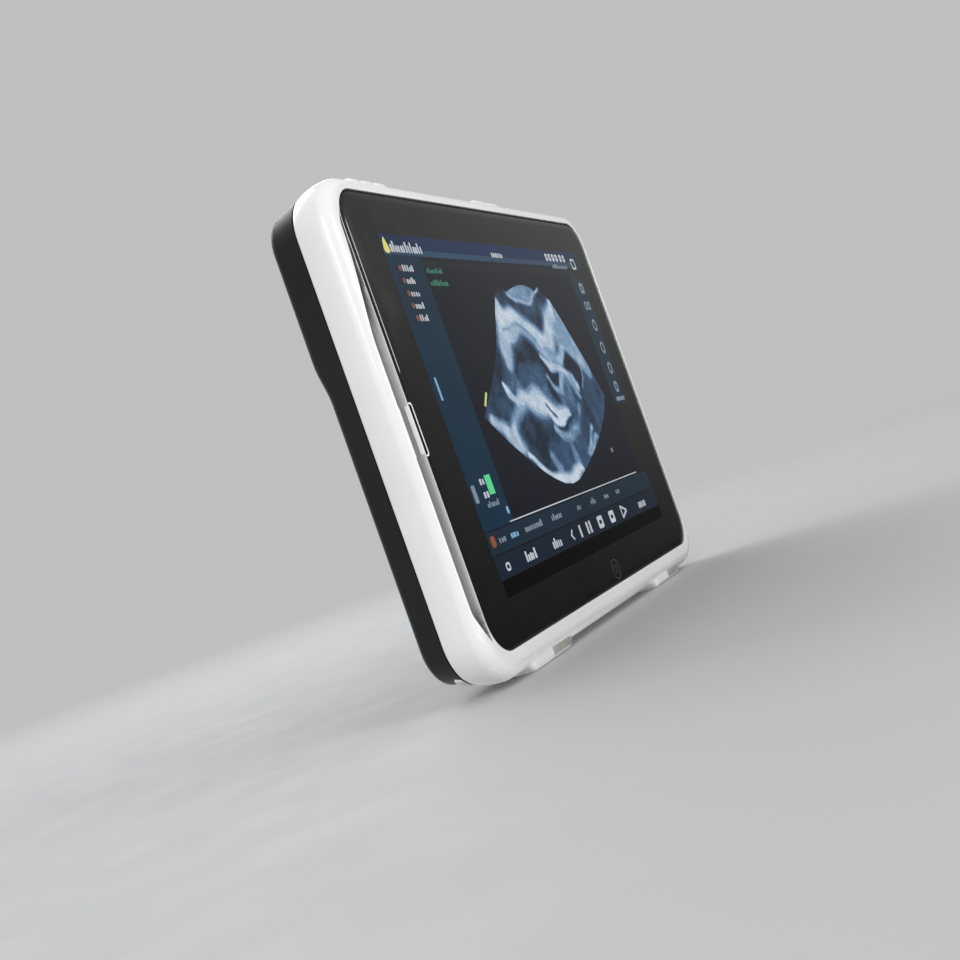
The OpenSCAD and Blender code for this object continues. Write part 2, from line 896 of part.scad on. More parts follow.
module chassis() {
    color([0.6, 0.6, 0.62]) {
        difference() {
            slab(7.05, 8.25)
                difference() {
                    round_rect(-137, 138, 18.8, 210, 4);
                    for (x = [-90, 10, 90], z = [60, 168])
                        translate([x, z]) circle(12);
                }
            for (p = case_screw_at) rod(p[0], p[1], 5, 5, 10);
            for (p = chassis_screw_at) rod(p[0], p[1], 1.6, 5, 10);
            for (p = board_screw_at) rod(p[0], p[1], 1.5, 5, 10);
            block([-31, -13], [5, 10], [120, 122.5]);
        }
        for (p = board_screw_at)
            difference() {
                rod(p[0], p[1], 2.8, 8.2, 12);
                rod(p[0], p[1], 1.5, 5, 13);
            }
    }
}

module chassis_screws() {
    color("silver")
        for (p = chassis_screw_at) {
            rod(p[0], p[1], 1.3, 4, 8.4);
            rod(p[0], p[1], 2.4, 8.25, 9.8);
        }
}

// Flat cable from the back of the screen to the main board
module screen_flex() {
    color("peru") {
        block([-30, -14], [8.4, 8.6], [121, 149]);
        block([-30, -14], [8.4, 11.8], [148.8, 149]);
        block([-30, -14], [5.62, 8.6], [121, 121.2]);
    }
}

// ---------- assembly ----------

front_frame();
rear_cover();
seam_gasket();
glass_panel();
glass_gasket();
home_key_ring();
home_key_board();
status_light_bar();
dock_pad(boss_x[0]);  // dock_pad_left
dock_pad(boss_x[1]);  // dock_pad_right
rear_feet();
corner_bumpers();
control_key_left();
control_key_middle();
control_key_right();
key_lamp_lens();
power_key();
capture_key();
microphone_cap();
key_switch_board();
kickstand();
stand_grip();
stand_pins();
stand_washers();
mount_inserts();
case_screws();
battery_pack();
battery_latch();
battery_connector();
port_door();
port_door_pin();
port_bezel();
usb_socket();
hdmi_socket();
dc_jack();
probe_socket_shell();
probe_socket_insert();
probe_lock_slider();
fan_housing();
fan_impeller();
heatsink();
heat_pipe();
heat_spreader();
main_board();
beamformer_board();
board_shields();
board_screws();
storage_module();
radio_module();
antennas();
speaker_left();
speaker_right();
lcd_panel();
chassis();
chassis_screws();
screen_flex();
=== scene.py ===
"""Looks of a tablet ultrasound scanner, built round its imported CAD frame.

Inside the helpers lengths are in millimetres, and at() turns them into the frame's metres.
x runs to the user's right, z runs up the screen, and depth runs back from the screen glass.
"""
import json
import math
import random
import bmesh
import bpy
from mathutils import Matrix, Vector

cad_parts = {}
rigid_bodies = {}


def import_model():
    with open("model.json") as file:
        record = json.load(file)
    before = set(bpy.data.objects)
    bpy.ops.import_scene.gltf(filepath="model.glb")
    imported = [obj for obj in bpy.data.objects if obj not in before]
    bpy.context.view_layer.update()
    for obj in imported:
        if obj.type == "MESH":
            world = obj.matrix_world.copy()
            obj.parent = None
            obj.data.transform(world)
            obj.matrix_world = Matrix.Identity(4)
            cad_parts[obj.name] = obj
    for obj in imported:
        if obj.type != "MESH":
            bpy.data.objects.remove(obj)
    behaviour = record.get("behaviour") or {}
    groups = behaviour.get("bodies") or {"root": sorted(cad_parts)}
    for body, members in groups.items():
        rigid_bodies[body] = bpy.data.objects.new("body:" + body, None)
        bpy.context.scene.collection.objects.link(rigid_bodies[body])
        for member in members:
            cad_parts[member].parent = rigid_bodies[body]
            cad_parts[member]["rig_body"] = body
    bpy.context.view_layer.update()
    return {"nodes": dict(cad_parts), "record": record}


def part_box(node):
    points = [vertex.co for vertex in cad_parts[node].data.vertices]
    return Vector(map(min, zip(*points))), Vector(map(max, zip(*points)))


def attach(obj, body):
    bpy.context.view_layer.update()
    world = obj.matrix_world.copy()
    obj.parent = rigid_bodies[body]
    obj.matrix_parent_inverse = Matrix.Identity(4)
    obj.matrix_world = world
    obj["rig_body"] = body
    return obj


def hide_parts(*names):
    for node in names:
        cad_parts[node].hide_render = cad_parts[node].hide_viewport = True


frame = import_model()
random.seed(7)

# ---------- sizes, taken from the frame ----------

MM = 0.001
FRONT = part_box("glass_panel")[0].y


def depth_of(y):
    return (y - FRONT) / MM


def box_mm(node):
    """The lowest and highest corner of a node, in the frame's millimetres."""
    return [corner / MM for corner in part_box(node)]


glass_low, glass_high = box_mm("glass_panel")
HALF_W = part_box("front_frame")[1].x / MM
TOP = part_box("front_frame")[1].z / MM
SIDE_DRAFT = 2.5
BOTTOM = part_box("rear_cover")[0].z / MM - SIDE_DRAFT
SEAM = depth_of(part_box("front_frame")[1].y)
COVER_FRONT = SEAM + 0.3
HUMP = depth_of(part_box("rear_cover")[1].y)
LOW_BACK = HUMP - 2.4
STEP_LOW, STEP_HIGH = 133, 151  # heights between which the back slopes
CORNER_R = 22.8
GLASS_R = 16
LIP = 0.4  # how far the frame stands in front of the glass
FRONT_ROUND = 6.8
WALL = 5.1


def at(x, depth, z):
    """The point of the frame, in metres, at x, depth and z in millimetres."""
    return Vector((x * MM, FRONT + depth * MM, z * MM))


def smooth(t):
    """0 up to t = 0, 1 from t = 1, and an even S between them."""
    t = min(1, max(0, t))
    return t * t * (3 - 2 * t)


def spread(low, high, count):
    """count evenly spaced numbers from low to high."""
    return [low + (high - low) * i / (count - 1) for i in range(count)]


# ---------- camera and studio ----------


def make_camera():
    """The view from the scanner's left. The scanner leans back towards its user's lap
    in that view, so the camera is rolled, since the frame holds it upright."""
    azimuth, elevation, roll = (math.radians(a) for a in (24.2, 1.31, 19.7))
    look = Vector((math.cos(azimuth) * math.cos(elevation),
                   math.sin(azimuth) * math.cos(elevation), math.sin(elevation)))
    right = look.cross(Vector((0, 0, 1))).normalized()
    up = right.cross(look)
    image_right = math.cos(roll) * right - math.sin(roll) * up
    image_up = math.sin(roll) * right + math.cos(roll) * up
    data = bpy.data.cameras.new("camera")
    data.lens = 50.81
    data.sensor_width = 36
    data.clip_start = 0.01
    camera = bpy.data.objects.new("camera", data)
    turn = Matrix((image_right, image_up, -look)).transposed()
    camera.matrix_world = Matrix.Translation((-0.6373, -0.2549, 0.0710)) @ turn.to_4x4()
    bpy.context.scene.collection.objects.link(camera)
    bpy.context.scene.camera = camera


def area_light(name, place, target, size, power, colour):
    data = bpy.data.lights.new(name, "AREA")
    data.shape = "DISK"
    data.size = size
    data.energy = power
    data.color = colour
    light = bpy.data.objects.new(name, data)
    light.location = place
    light.rotation_mode = "QUATERNION"
    light.rotation_quaternion = (Vector(target) - Vector(place)).to_track_quat("-Z", "Y")
    bpy.context.scene.collection.objects.link(light)


# ---------- nodes ----------


def feed(tree, node, inputs):
    """Sets each input to a number or colour, or links it to a socket."""
    for key, value in inputs.items():
        if isinstance(value, bpy.types.NodeSocket):
            tree.links.new(value, node.inputs[key])
        else:
            node.inputs[key].default_value = value


def add_node(tree, kind, inputs=None, **settings):
    """A shader node with its inputs fed and its settings made."""
    node = tree.nodes.new("ShaderNode" + kind)
    for name, value in settings.items():
        setattr(node, name, value)
    feed(tree, node, inputs or {})
    return node


def calc(tree, operation, *values):
    return add_node(tree, "Math", dict(enumerate(values)), operation=operation).outputs[0]


def remap(tree, value, low, high, new_low=0, new_high=1):
    """value moved from low..high to new_low..new_high, evened out at both ends."""
    node = add_node(tree, "MapRange", {"Value": value, "From Min": low, "From Max": high,
                                       "To Min": new_low, "To Max": new_high},
                    interpolation_type="SMOOTHSTEP")
    return node.outputs[0]


def blend_colours(tree, share, first, second):
    first, second = (colour if isinstance(colour, bpy.types.NodeSocket) else (*colour, 1)
                     for colour in (first, second))
    return add_node(tree, "Mix", {"Factor": share, 6: first, 7: second},
                    data_type="RGBA").outputs[2]


def srgb(red, green, blue):
    """A colour given by its 0 to 255 display values, as linear light."""
    return tuple(((v / 255 + 0.055) / 1.055) ** 2.4 if v > 10 else v / 3294
                 for v in (red, green, blue))


def start_material(name, kind="BsdfPrincipled"):
    """A material with one shader: its node tree, that shader and its place socket."""
    material = bpy.data.materials.new(name)
    material.use_nodes = True
    tree = material.node_tree
    tree.nodes.clear()
    shader = add_node(tree, kind)
    add_node(tree, "OutputMaterial", {0: shader.outputs[0]})
    place = add_node(tree, "TexCoord").outputs["Object"]
    return material, tree, shader, place


def noise(tree, place, size_mm, detail=3.0, roughness=0.5, distortion=0.0):
    """Noise whose features are about size_mm across."""
    node = add_node(tree, "TexNoise", {"Vector": place, "Scale": 1 / (size_mm * MM),
                                       "Detail": detail, "Roughness": roughness,
                                       "Distortion": distortion})
    return node.outputs[0]


def stretched(tree, place, scale):
    return add_node(tree, "Mapping", {"Vector": place, "Scale": scale}).outputs[0]


def bump(tree, height, strength, distance_mm):
    return add_node(tree, "Bump", {"Height": height, "Strength": strength,
                                   "Distance": distance_mm * MM}).outputs[0]


# ---------- materials ----------

DISPLAY_SPECULAR = 0.36


def grey(value):
    return (value, value, value)


def moulded(name, dark, light, gloss, grain_mm, grain_depth, patch_mm, coat=0.0,
            specular=0.5, metal=0.0, painted_shade=0.0):
    """Moulded, painted or coated surface: slow colour drift, fine grain in height and
    roughness, and edges rubbed a little lighter. gloss is (smoothest, roughest), and the
    last argument darkens hollows a few millimetres across as painted shade."""
    material, tree, shader, place = start_material(name)
    drift = noise(tree, place, patch_mm, detail=4.0)
    grain = noise(tree, place, grain_mm, detail=2.0)
    worn = add_node(tree, "NewGeometry").outputs["Pointiness"]
    rub = calc(tree, "MULTIPLY", remap(tree, worn, 0.52, 0.60), 0.35)
    body = blend_colours(tree, remap(tree, drift, 0.3, 0.7), dark, light)
    edge = tuple(min(1, c * 1.35 + 0.004) for c in light)
    colour = blend_colours(tree, rub, body, edge)
    # Painted shade: an ambient occlusion node darkens the colour in hollows a few millimetres
    # across.
    if painted_shade:
        hollow = add_node(tree, "AmbientOcclusion", {"Distance": 8 * MM}, samples=8,
                          only_local=True).outputs["AO"]
        shaded_colour = tuple(c * (1 - painted_shade) for c in dark)
        colour = blend_colours(tree, remap(tree, hollow, 0.52, 0.93), shaded_colour, colour)
    feed(tree, shader, {
        "Base Color": colour, "Roughness": remap(tree, grain, 0.3, 0.7, *gloss),
        "Normal": bump(tree, grain, 0.6, grain_depth), "Specular IOR Level": specular,
        "Metallic": metal, "Coat Weight": coat, "Coat Roughness": 0.12})
    return material


def brushed(name, dark, light, along, gloss, line_mm):
    """Brushed or drawn metal, with fine lines that run along one axis."""
    material, tree, shader, place = start_material(name)
    stretch = [0.03 if axis == along else 1 for axis in "xyz"]
    lines = noise(tree, stretched(tree, place, stretch), line_mm)
    mixed = calc(tree, "ADD", calc(tree, "MULTIPLY", lines, 0.6),
                 calc(tree, "MULTIPLY", noise(tree, place, 15), 0.4))
    feed(tree, shader, {
        "Base Color": blend_colours(tree, remap(tree, mixed, 0.3, 0.7), dark, light),
        "Roughness": remap(tree, lines, 0.3, 0.7, *gloss),
        "Normal": bump(tree, lines, 0.3, 0.02), "Metallic": 1.0})
    return material


def circuit(name):
    """Solder mask over copper tracks, with plated pads."""
    material, tree, shader, place = start_material(name)
    tracks = add_node(tree, "TexBrick", {"Vector": place, "Scale": 90.0,
                                         "Mortar Size": 0.05}).outputs[1]
    pads = add_node(tree, "TexVoronoi", {"Vector": place, "Scale": 220.0}).outputs[0]
    mask = blend_colours(tree, tracks, (0.008, 0.10, 0.035), (0.02, 0.20, 0.07))
    shown = remap(tree, pads, 0.13, 0.11)
    feed(tree, shader, {
        "Base Color": blend_colours(tree, shown, mask, (0.62, 0.48, 0.2)), "Metallic": shown,
        "Roughness": remap(tree, noise(tree, place, 1.5), 0.3, 0.7, 0.3, 0.5)})
    return material


def black_glass(name):
    """Glass printed black from behind: deep, glossy, with faint wipe marks."""
    material, tree, shader, place = start_material(name)
    smears = noise(tree, stretched(tree, place, (1, 1, 0.35)), 22, detail=6.0,
                   roughness=0.62, distortion=0.8)
    feed(tree, shader, {
        "Base Color": blend_colours(tree, remap(tree, smears, 0.3, 0.8), grey(0.0085),
                                    grey(0.012)),
        "Roughness": remap(tree, smears, 0.35, 0.75, 0.035, 0.11), "IOR": 1.5})
    return material


def light_under_glass(tree, shader, place, colour, specular):
    """Makes the shader a lit part of the display, with the gloss of the glass over it."""
    feed(tree, shader, {
        "Emission Color": colour, "Emission Strength": 1.0, "Base Color": (*grey(0.004), 1),
        "Specular IOR Level": specular,
        "Roughness": remap(tree, noise(tree, place, 22, detail=6.0), 0.35, 0.75, 0.035, 0.10)})


def lit(name, colour, patch_mm, vary=0.12, specular=DISPLAY_SPECULAR):
    """A lit patch of the screen under the glass: the backlight is a little uneven."""
    material, tree, shader, place = start_material(name)
    drift = remap(tree, noise(tree, place, patch_mm, detail=2.0), 0.25, 0.75)
    dim, bright = ([min(1, c * share) for c in colour] for share in (1 - vary, 1 + vary))
    light_under_glass(tree, shader, place, blend_colours(tree, drift, dim, bright), specular)
    return material


def tissue(name):
    """The echo image: each point's own brightness, drawn out into fine veins that run
    along the lines of equal brightness, over speckle."""
    material, tree, shader, place = start_material(name)
    level = add_node(tree, "Attribute", attribute_name="level").outputs["Fac"]
    parts = add_node(tree, "SeparateXYZ", {0: place}).outputs
    flow = add_node(tree, "CombineXYZ", {0: calc(tree, "MULTIPLY", level, 7.0),
                                         1: calc(tree, "MULTIPLY", parts[0], 34.0),
                                         2: calc(tree, "MULTIPLY", parts[2], 34.0)})
    veins = add_node(tree, "TexNoise", {"Vector": flow.outputs[0], "Scale": 1.0, "Detail": 4.0,
                                        "Roughness": 0.6, "Distortion": 0.6}).outputs[0]
    level = calc(tree, "ADD", level, remap(tree, veins, 0.25, 0.75, -0.08, 0.08))
    clouds = noise(tree, place, 9)
    level = calc(tree, "ADD", level, remap(tree, clouds, 0.3, 0.7, -0.06, 0.06))
    speckle = noise(tree, place, 0.8, detail=2.0)
    level = calc(tree, "MULTIPLY", level, remap(tree, speckle, 0.2, 0.8, 0.9, 1.1))
    ramp = add_node(tree, "ValToRGB", {"Fac": level})
    stops = [(0.0, (9, 13, 23)), (0.2, (20, 36, 52)), (0.45, (52, 80, 110)),
             (0.7, (116, 147, 177)), (1.0, (198, 209, 219))]
    while len(ramp.color_ramp.elements) < len(stops):
        ramp.color_ramp.elements.new(0.5)
    for element, (position, colour) in zip(ramp.color_ramp.elements, stops):
        element.position = position
        element.color = (*srgb(*colour), 1)
    light_under_glass(tree, shader, place, ramp.outputs[0], DISPLAY_SPECULAR)
    return material


WHITE = ((0.755, 0.76, 0.765), (0.80, 0.805, 0.805))

# Slot: dark, light, gloss, grain size, grain depth, patch size, and what is special.
MOULDED = {
    # The white shell's hollows, above all the finger groove, are darkened with painted shade.
    "white_shell": (*WHITE, (0.24, 0.28), 0.5, 0.0012, 60, dict(coat=0.2, painted_shade=0.88)),
    "black_shell": ((0.0048, 0.0048, 0.005), (0.0075, 0.0075, 0.0077), (0.36, 0.5), 0.45, 0.02,
                    45, dict(specular=0.22)),
    "seal_rubber": (grey(0.004), grey(0.009), (0.6, 0.75), 0.8, 0.02, 40, dict(specular=0.3)),
    "printed_ring": ((0.075, 0.062, 0.056), (0.13, 0.112, 0.10), (0.25, 0.4), 0.3, 0.004, 4,
                     dict(metal=0.5)),
    "light_pipe": ((0.84, 0.86, 0.88), (0.92, 0.94, 0.95), (0.1, 0.2), 2.0, 0.01, 8,
                   dict(coat=0.5)),
    "dock_pad": ((0.36, 0.34, 0.31), (0.48, 0.455, 0.42), (0.3, 0.46), 0.35, 0.03, 7,
                 dict(metal=0.25)),
    "foot_rubber": (grey(0.012), grey(0.022), (0.62, 0.82), 0.5, 0.05, 12, dict(specular=0.3)),
    "light_trim": ((0.60, 0.61, 0.62), (0.68, 0.69, 0.70), (0.3, 0.42), 0.6, 0.02, 10, {}),
    "white_key": (*WHITE, (0.24, 0.34), 0.7, 0.003, 9, dict(coat=0.2)),
    "stand_metal": ((0.010, 0.010, 0.011), (0.020, 0.020, 0.021), (0.42, 0.58), 0.35, 0.04, 30,
                    {}),
    "black_screw": ((0.012, 0.012, 0.013), (0.03, 0.03, 0.032), (0.3, 0.45), 0.25, 0.02, 2,
                    dict(metal=0.8)),
    "battery_shell": ((0.007, 0.007, 0.0075), (0.012, 0.012, 0.0125), (0.42, 0.56), 0.45, 0.04,
                      35, dict(specular=0.4)),
    "latch_plastic": ((0.52, 0.13, 0.02), (0.66, 0.20, 0.04), (0.35, 0.5), 0.4, 0.03, 8, {}),
    "connector_plastic": (grey(0.008), grey(0.018), (0.45, 0.6), 0.3, 0.02, 6, {}),
    "inner_plastic": (grey(0.012), (0.024, 0.024, 0.025), (0.45, 0.6), 0.4, 0.03, 14, {}),
    "magnesium": ((0.30, 0.30, 0.31), (0.42, 0.42, 0.43), (0.42, 0.6), 0.6, 0.05, 18,
                  dict(metal=0.9)),
    "flex_film": ((0.30, 0.12, 0.02), (0.44, 0.20, 0.04), (0.25, 0.4), 0.6, 0.01, 6, {}),
}
# Slot: dark, light, the way its lines run, gloss, line width.
BRUSHED = {
    "steel": ((0.42, 0.42, 0.43), (0.62, 0.62, 0.63), "x", (0.22, 0.38), 0.25),
    "brass_insert": ((0.55, 0.38, 0.13), (0.74, 0.56, 0.25), "y", (0.22, 0.36), 0.15),
    "plated_shell": ((0.50, 0.50, 0.51), (0.72, 0.72, 0.73), "z", (0.16, 0.3), 0.2),
    "aluminium_fin": ((0.55, 0.55, 0.56), (0.78, 0.78, 0.79), "x", (0.25, 0.42), 0.25),
    "copper_pipe": ((0.55, 0.24, 0.12), (0.76, 0.42, 0.26), "z", (0.25, 0.4), 0.25),
}
SLOTS = {name: moulded(name, *values, **special)
         for name, (*values, special) in MOULDED.items()}
SLOTS.update((name, brushed(name, *values)) for name, values in BRUSHED.items())
SLOTS["cover_glass"] = black_glass("cover_glass")
SLOTS["circuit_board"] = circuit("circuit_board")
SLOTS["screen_picture"] = lit("screen_base", srgb(32, 35, 44), 90, vary=0.18)

# ---------- mesh building ----------


def add_object(name, bm, materials=()):
    mesh = bpy.data.meshes.new(name)
    bm.to_mesh(mesh)
    bm.free()
    for material in materials:
        mesh.materials.append(material)
    added = bpy.data.objects.new(name, mesh)
    bpy.context.scene.collection.objects.link(added)
    return added


def smooth_faces(mesh, sharp_deg):
    """Smooth shading, split where faces meet at more than sharp_deg."""
    mesh.polygons.foreach_set("use_smooth", [True] * len(mesh.polygons))
    mesh.set_sharp_from_angle(angle=math.radians(sharp_deg))


def new_piece(name, bm, slot, replaced=None, body="housing", materials=None, sharp_deg=35):
    """Turns bm into a named piece of a slot, which rides on a body and may replace a node."""
    bmesh.ops.recalc_face_normals(bm, faces=bm.faces)
    piece = add_object(name, bm, materials or [SLOTS[slot]])
    smooth_faces(piece.data, sharp_deg)
    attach(piece, body)
    if replaced:
        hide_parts(replaced)
    return piece


def shade(piece, sharp_deg):
    """Smooth shading split at sharp edges, with flat faces kept flat beside small ones."""
    smooth_faces(piece.data, sharp_deg)
    weighted = piece.modifiers.new("even", "WEIGHTED_NORMAL")
    weighted.mode = "FACE_AREA"
    weighted.weight = 50
    weighted.keep_sharp = True
    apply_modifiers(piece)


def apply_modifiers(piece):
    """Replaces the piece's mesh by what its modifiers make of it."""
    graph = bpy.context.evaluated_depsgraph_get()
    made = bpy.data.meshes.new_from_object(piece.evaluated_get(graph))
    piece.modifiers.clear()
    piece.data = made


def skin(bm, grid, close_rows=True, close_columns=True):
    """Faces over a grid of points, grid[row][column]. Returns the vertices as a grid."""
    verts = [[bm.verts.new(p) for p in row] for row in grid]
    rows, columns = len(grid), len(grid[0])
    for i in range(rows if close_rows else rows - 1):
        for j in range(columns if close_columns else columns - 1):
            a, b = verts[i], verts[(i + 1) % rows]
            k = (j + 1) % columns
            bm.faces.new((a[j], a[k], b[k], b[j]))
    return verts


def slab(bm, front, back, slot=0):
    """A closed plate between two outlines of as many points."""
    front, back = ([bm.verts.new(p) for p in outline] for outline in (front, back))
    faces = [bm.faces.new(front), bm.faces.new(back[::-1])]
    for i in range(len(front)):
        j = (i + 1) % len(front)
        faces.append(bm.faces.new((front[j], front[i], back[i], back[j])))
    for face in faces:
        face.material_index = slot


def prism(bm, outline, d0, d1, slot=0):
    """A closed plate over an outline of (x, z) points, between two depths."""
    slab(bm, *([at(x, d, z) for x, z in outline] for d in (d0, d1)), slot)


def close_off(bm, rim, foot):
    """Walls from a rim of vertices to a foot with as many, and a face over the foot."""
    for i in range(len(rim)):
        j = (i + 1) % len(rim)
        bm.faces.new((rim[i], rim[j], foot[j], foot[i]))
    bm.faces.new(foot)


def raised_ring(bm, outer, inner, front, back):
    """A flat ring between two outlines of (x, z) points, between two depths."""
    skin(bm, [[at(x, depth, z) for x, z in outline] for outline, depth in
              ((outer, back), (outer, front), (inner, front), (inner, back))])


def rounded_rect(x0, x1, z0, z1, r, steps=6):
    """Outline of a rectangle with round corners, as (x, z) points."""
    r = min(r, (x1 - x0) / 2, (z1 - z0) / 2)
    corners = [(x1 - r, z0 + r, -90), (x1 - r, z1 - r, 0), (x0 + r, z1 - r, 90),
               (x0 + r, z0 + r, 180)]
    return [(x + r * math.cos(math.radians(start + 90 * k / steps)),
             z + r * math.sin(math.radians(start + 90 * k / steps)))
            for x, z, start in corners for k in range(steps + 1)]


def disc(x, z, r, steps=32):
    return [(x + r * math.cos(2 * math.pi * k / steps), z + r * math.sin(2 * math.pi * k / steps))
            for k in range(steps)]


def cuboid(bm, x, d, z):
    """A block given by its ranges of x, depth and z."""
    prism(bm, [(x[0], z[0]), (x[1], z[0]), (x[1], z[1]), (x[0], z[1])], *d)


def side_prism(bm, outline, x0, x1):
    """A closed plate over an outline of (depth, z) points, between two places along x."""
    slab(bm, *([at(x, d, z) for d, z in outline] for x in (x0, x1)))


def rounded_path(x0, x1, z0, z1, r, shares, steps=16):
    """Points with outward normals round a rounded rectangle, anticlockwise from the
    bottom left. shares holds the places along the bottom, right, top and left straights."""
    straights = [((x0 + r, z0), (x1 - r, z0)), ((x1, z0 + r), (x1, z1 - r)),
                 ((x1 - r, z1), (x0 + r, z1)), ((x0, z1 - r), (x0, z0 + r))]
    centres = [(x1 - r, z0 + r), (x1 - r, z1 - r), (x0 + r, z1 - r), (x0 + r, z0 + r)]
    path = []
    for side in range(4):
        start, end = (Vector(p) for p in straights[side])
        facing = math.radians(90 * side - 90)
        normal = Vector((math.cos(facing), math.sin(facing)))
        path += [(start.lerp(end, t), normal) for t in shares[side]]
        for k in range(1, steps):
            angle = facing + math.radians(90 * k / steps)
            turned = Vector((math.cos(angle), math.sin(angle)))
            path.append((Vector(centres[side]) + r * turned, turned))
    return path


def cut(piece, cutter_bm, bevel_mm=0.0, sharp_deg=35):
    """Cuts the shapes in cutter_bm out of the piece, then rounds its sharp edges."""
    bmesh.ops.recalc_face_normals(cutter_bm, faces=cutter_bm.faces)
    cutter = add_object("cutter", cutter_bm)
    boolean = piece.modifiers.new("cut", "BOOLEAN")
    boolean.operation = "DIFFERENCE"
    boolean.solver = "EXACT"
    boolean.use_self = True
    boolean.object = cutter
    apply_modifiers(piece)
    bpy.data.objects.remove(cutter)
    if bevel_mm:
        round_edges(piece, bevel_mm, sharp_deg)
        shade(piece, sharp_deg)
    else:
        smooth_faces(piece.data, sharp_deg)


def round_edges(piece, width_mm, angle_deg, segments=2):
    bevel = piece.modifiers.new("round", "BEVEL")
    bevel.width = width_mm * MM
    bevel.segments = segments
    bevel.limit_method = "ANGLE"
    bevel.angle_limit = math.radians(angle_deg)
    bevel.use_clamp_overlap = True
    bevel.harden_normals = False
    apply_modifiers(piece)


def soften(node, width_mm):
    """A copy of a CAD node's mesh with its edges rounded, standing for the node."""
    source = frame["nodes"][node]
    bm = bmesh.new()
    bm.from_mesh(source.data)
    bmesh.ops.remove_doubles(bm, verts=bm.verts, dist=1e-6)
    bmesh.ops.dissolve_limit(bm, angle_limit=math.radians(1), verts=bm.verts, edges=bm.edges)
    piece = new_piece(node + "_moulded", bm, node_slot[node], node, source["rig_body"])
    round_edges(piece, width_mm, 30)
    shade(piece, 40)


node_slot = {part["node"]: part["material_slot"] for part in frame["record"]["subparts"]}


def paint_cad_nodes():
    """Every CAD node gets its slot's material. Replaced nodes are hidden later."""
    for name, node in frame["nodes"].items():
        node.data.materials.clear()
        node.data.materials.append(SLOTS[node_slot[name]])


# ---------- front frame ----------

BOSS_W = 56  # width of a lug with its pad
BOSS_X = (-121, 66)  # left end of each lug
TOE = 2.4  # radius of a lug's lower front edge
LUG_FRONT = 0.7
LUG_BACK = 12.9
PAD_FRONT = 1.15
GROOVE_RIM = 7.6  # inset of the groove's inner rim
GROOVE_DEEP = 5.0
GROOVE_WALL = 0.9  # width of the groove's steep outer wall
KEY_BACK = 10.0
KEY_FOOT = 6.0  # how far a key reaches down into the frame
KEY_GAP = 0.15
KEY_NODES = ("control_key_left", "control_key_middle", "control_key_right", "key_lamp_lens",
             "power_key", "capture_key", "microphone_cap")
LAND = (0.15, 0.3, 0.45, 0.6, 0.8, 1)  # steps of the flat strip from the round to the glass


def arc_length_point(path, share):
    """The point at a share of the length of a polyline."""
    lengths = [(b - a).length for a, b in zip(path, path[1:])]
    left = share * sum(lengths)
    for (a, b), length in zip(zip(path, path[1:]), lengths):
        if left <= length:
            return a.lerp(b, left / length)
        left -= length
    return path[-1]


def lug_section():
    """Side view of a lug's front, as (depth, z) from under the side wall to the front."""
    arc = [Vector((LUG_FRONT + TOE - TOE * math.sin(a), TOE - TOE * math.cos(a)))
           for a in spread(0, math.pi / 2, 9)]
    meet = math.asin((FRONT_ROUND - LIP - LUG_FRONT) / FRONT_ROUND)
    top = Vector((LUG_FRONT, BOTTOM + FRONT_ROUND * (1 - math.cos(meet))))
    return [Vector((FRONT_ROUND - LIP, 0))] + arc + [top], meet


def lug_share(x, white):
    """How far a lug stands out at x: the white lug fills its left half only."""
    share = 0
    for x0 in BOSS_X:
        if white:
            share = max(share, smooth((x - x0) / 6.5)
                        * (1 - smooth((x - x0 - BOSS_W / 2 + 1.3) / 1.3)))
        elif x >= x0:
            share = max(share, 1 - smooth((x - x0 - BOSS_W + 6.5) / 6.5))
    return share


def outer_profile():
    """The outer section of the frame, seam to front: (share of the front round, depth,
    and where a lug moves it). The inset is in millimetres until the round starts."""
    section, meet = lug_section()
    points = [("side", SIDE_DRAFT + 0.35, SEAM, None),
              ("side", SIDE_DRAFT + 0.08, SEAM - 0.1, None)]
    round_start = FRONT_ROUND - LIP
    for depth in (18.6, 17.2, 15.8, 14.4, 13.3, LUG_BACK + 0.1, LUG_BACK, 12.5, 11.6, 10.4,
                  9.2, 8.2, 7.2):
        inset = SIDE_DRAFT * ((depth - round_start) / (SEAM - round_start)) ** 2.4
        under = None
        if depth <= LUG_BACK:
            under = (depth, 0.45 * smooth((depth - 12.3) / 0.6))
        points.append(("side", inset, depth, under))
    for angle in spread(0, math.pi / 2, 48):
        under = None
        if angle <= meet:
            under = tuple(arc_length_point(section, angle / meet))
        points.append(("round", 1 - math.cos(angle), round_start - FRONT_ROUND * math.sin(angle),
                       under))
    return points


def groove_ridge(place):
    """Inset of the groove's outer edge, at a place measured up the left side and on round
    the corners. It starts at the inner rim, swings out, and drifts back near the top."""
    share = smooth((place - 15) / 21) * (1 - 0.72 * smooth((place - 146) / 54))
    share *= 1 - smooth((place - 198) / 11)
    return GROOVE_RIM - (GROOVE_RIM - 2.3) * share


def grooved(depth, inset, place):
    """The frame's surface depth once the finger groove is taken out of it."""
    ridge = groove_ridge(place)
    width = GROOVE_RIM - ridge
    wall = min(GROOVE_WALL, width / 3)
    if not ridge < inset < GROOVE_RIM or width < 0.15:
        return depth
    deepest = ridge + wall
    offset = ((deepest - inset) / wall if inset < deepest
              else (inset - deepest) / (GROOVE_RIM - deepest))
    floor_depth = -0.15 + GROOVE_DEEP * min(1, width / 4.6) * math.sqrt(1 - offset ** 2)
    gap = floor_depth - depth
    return depth + (gap + math.sqrt(gap ** 2 + 0.02)) / 2


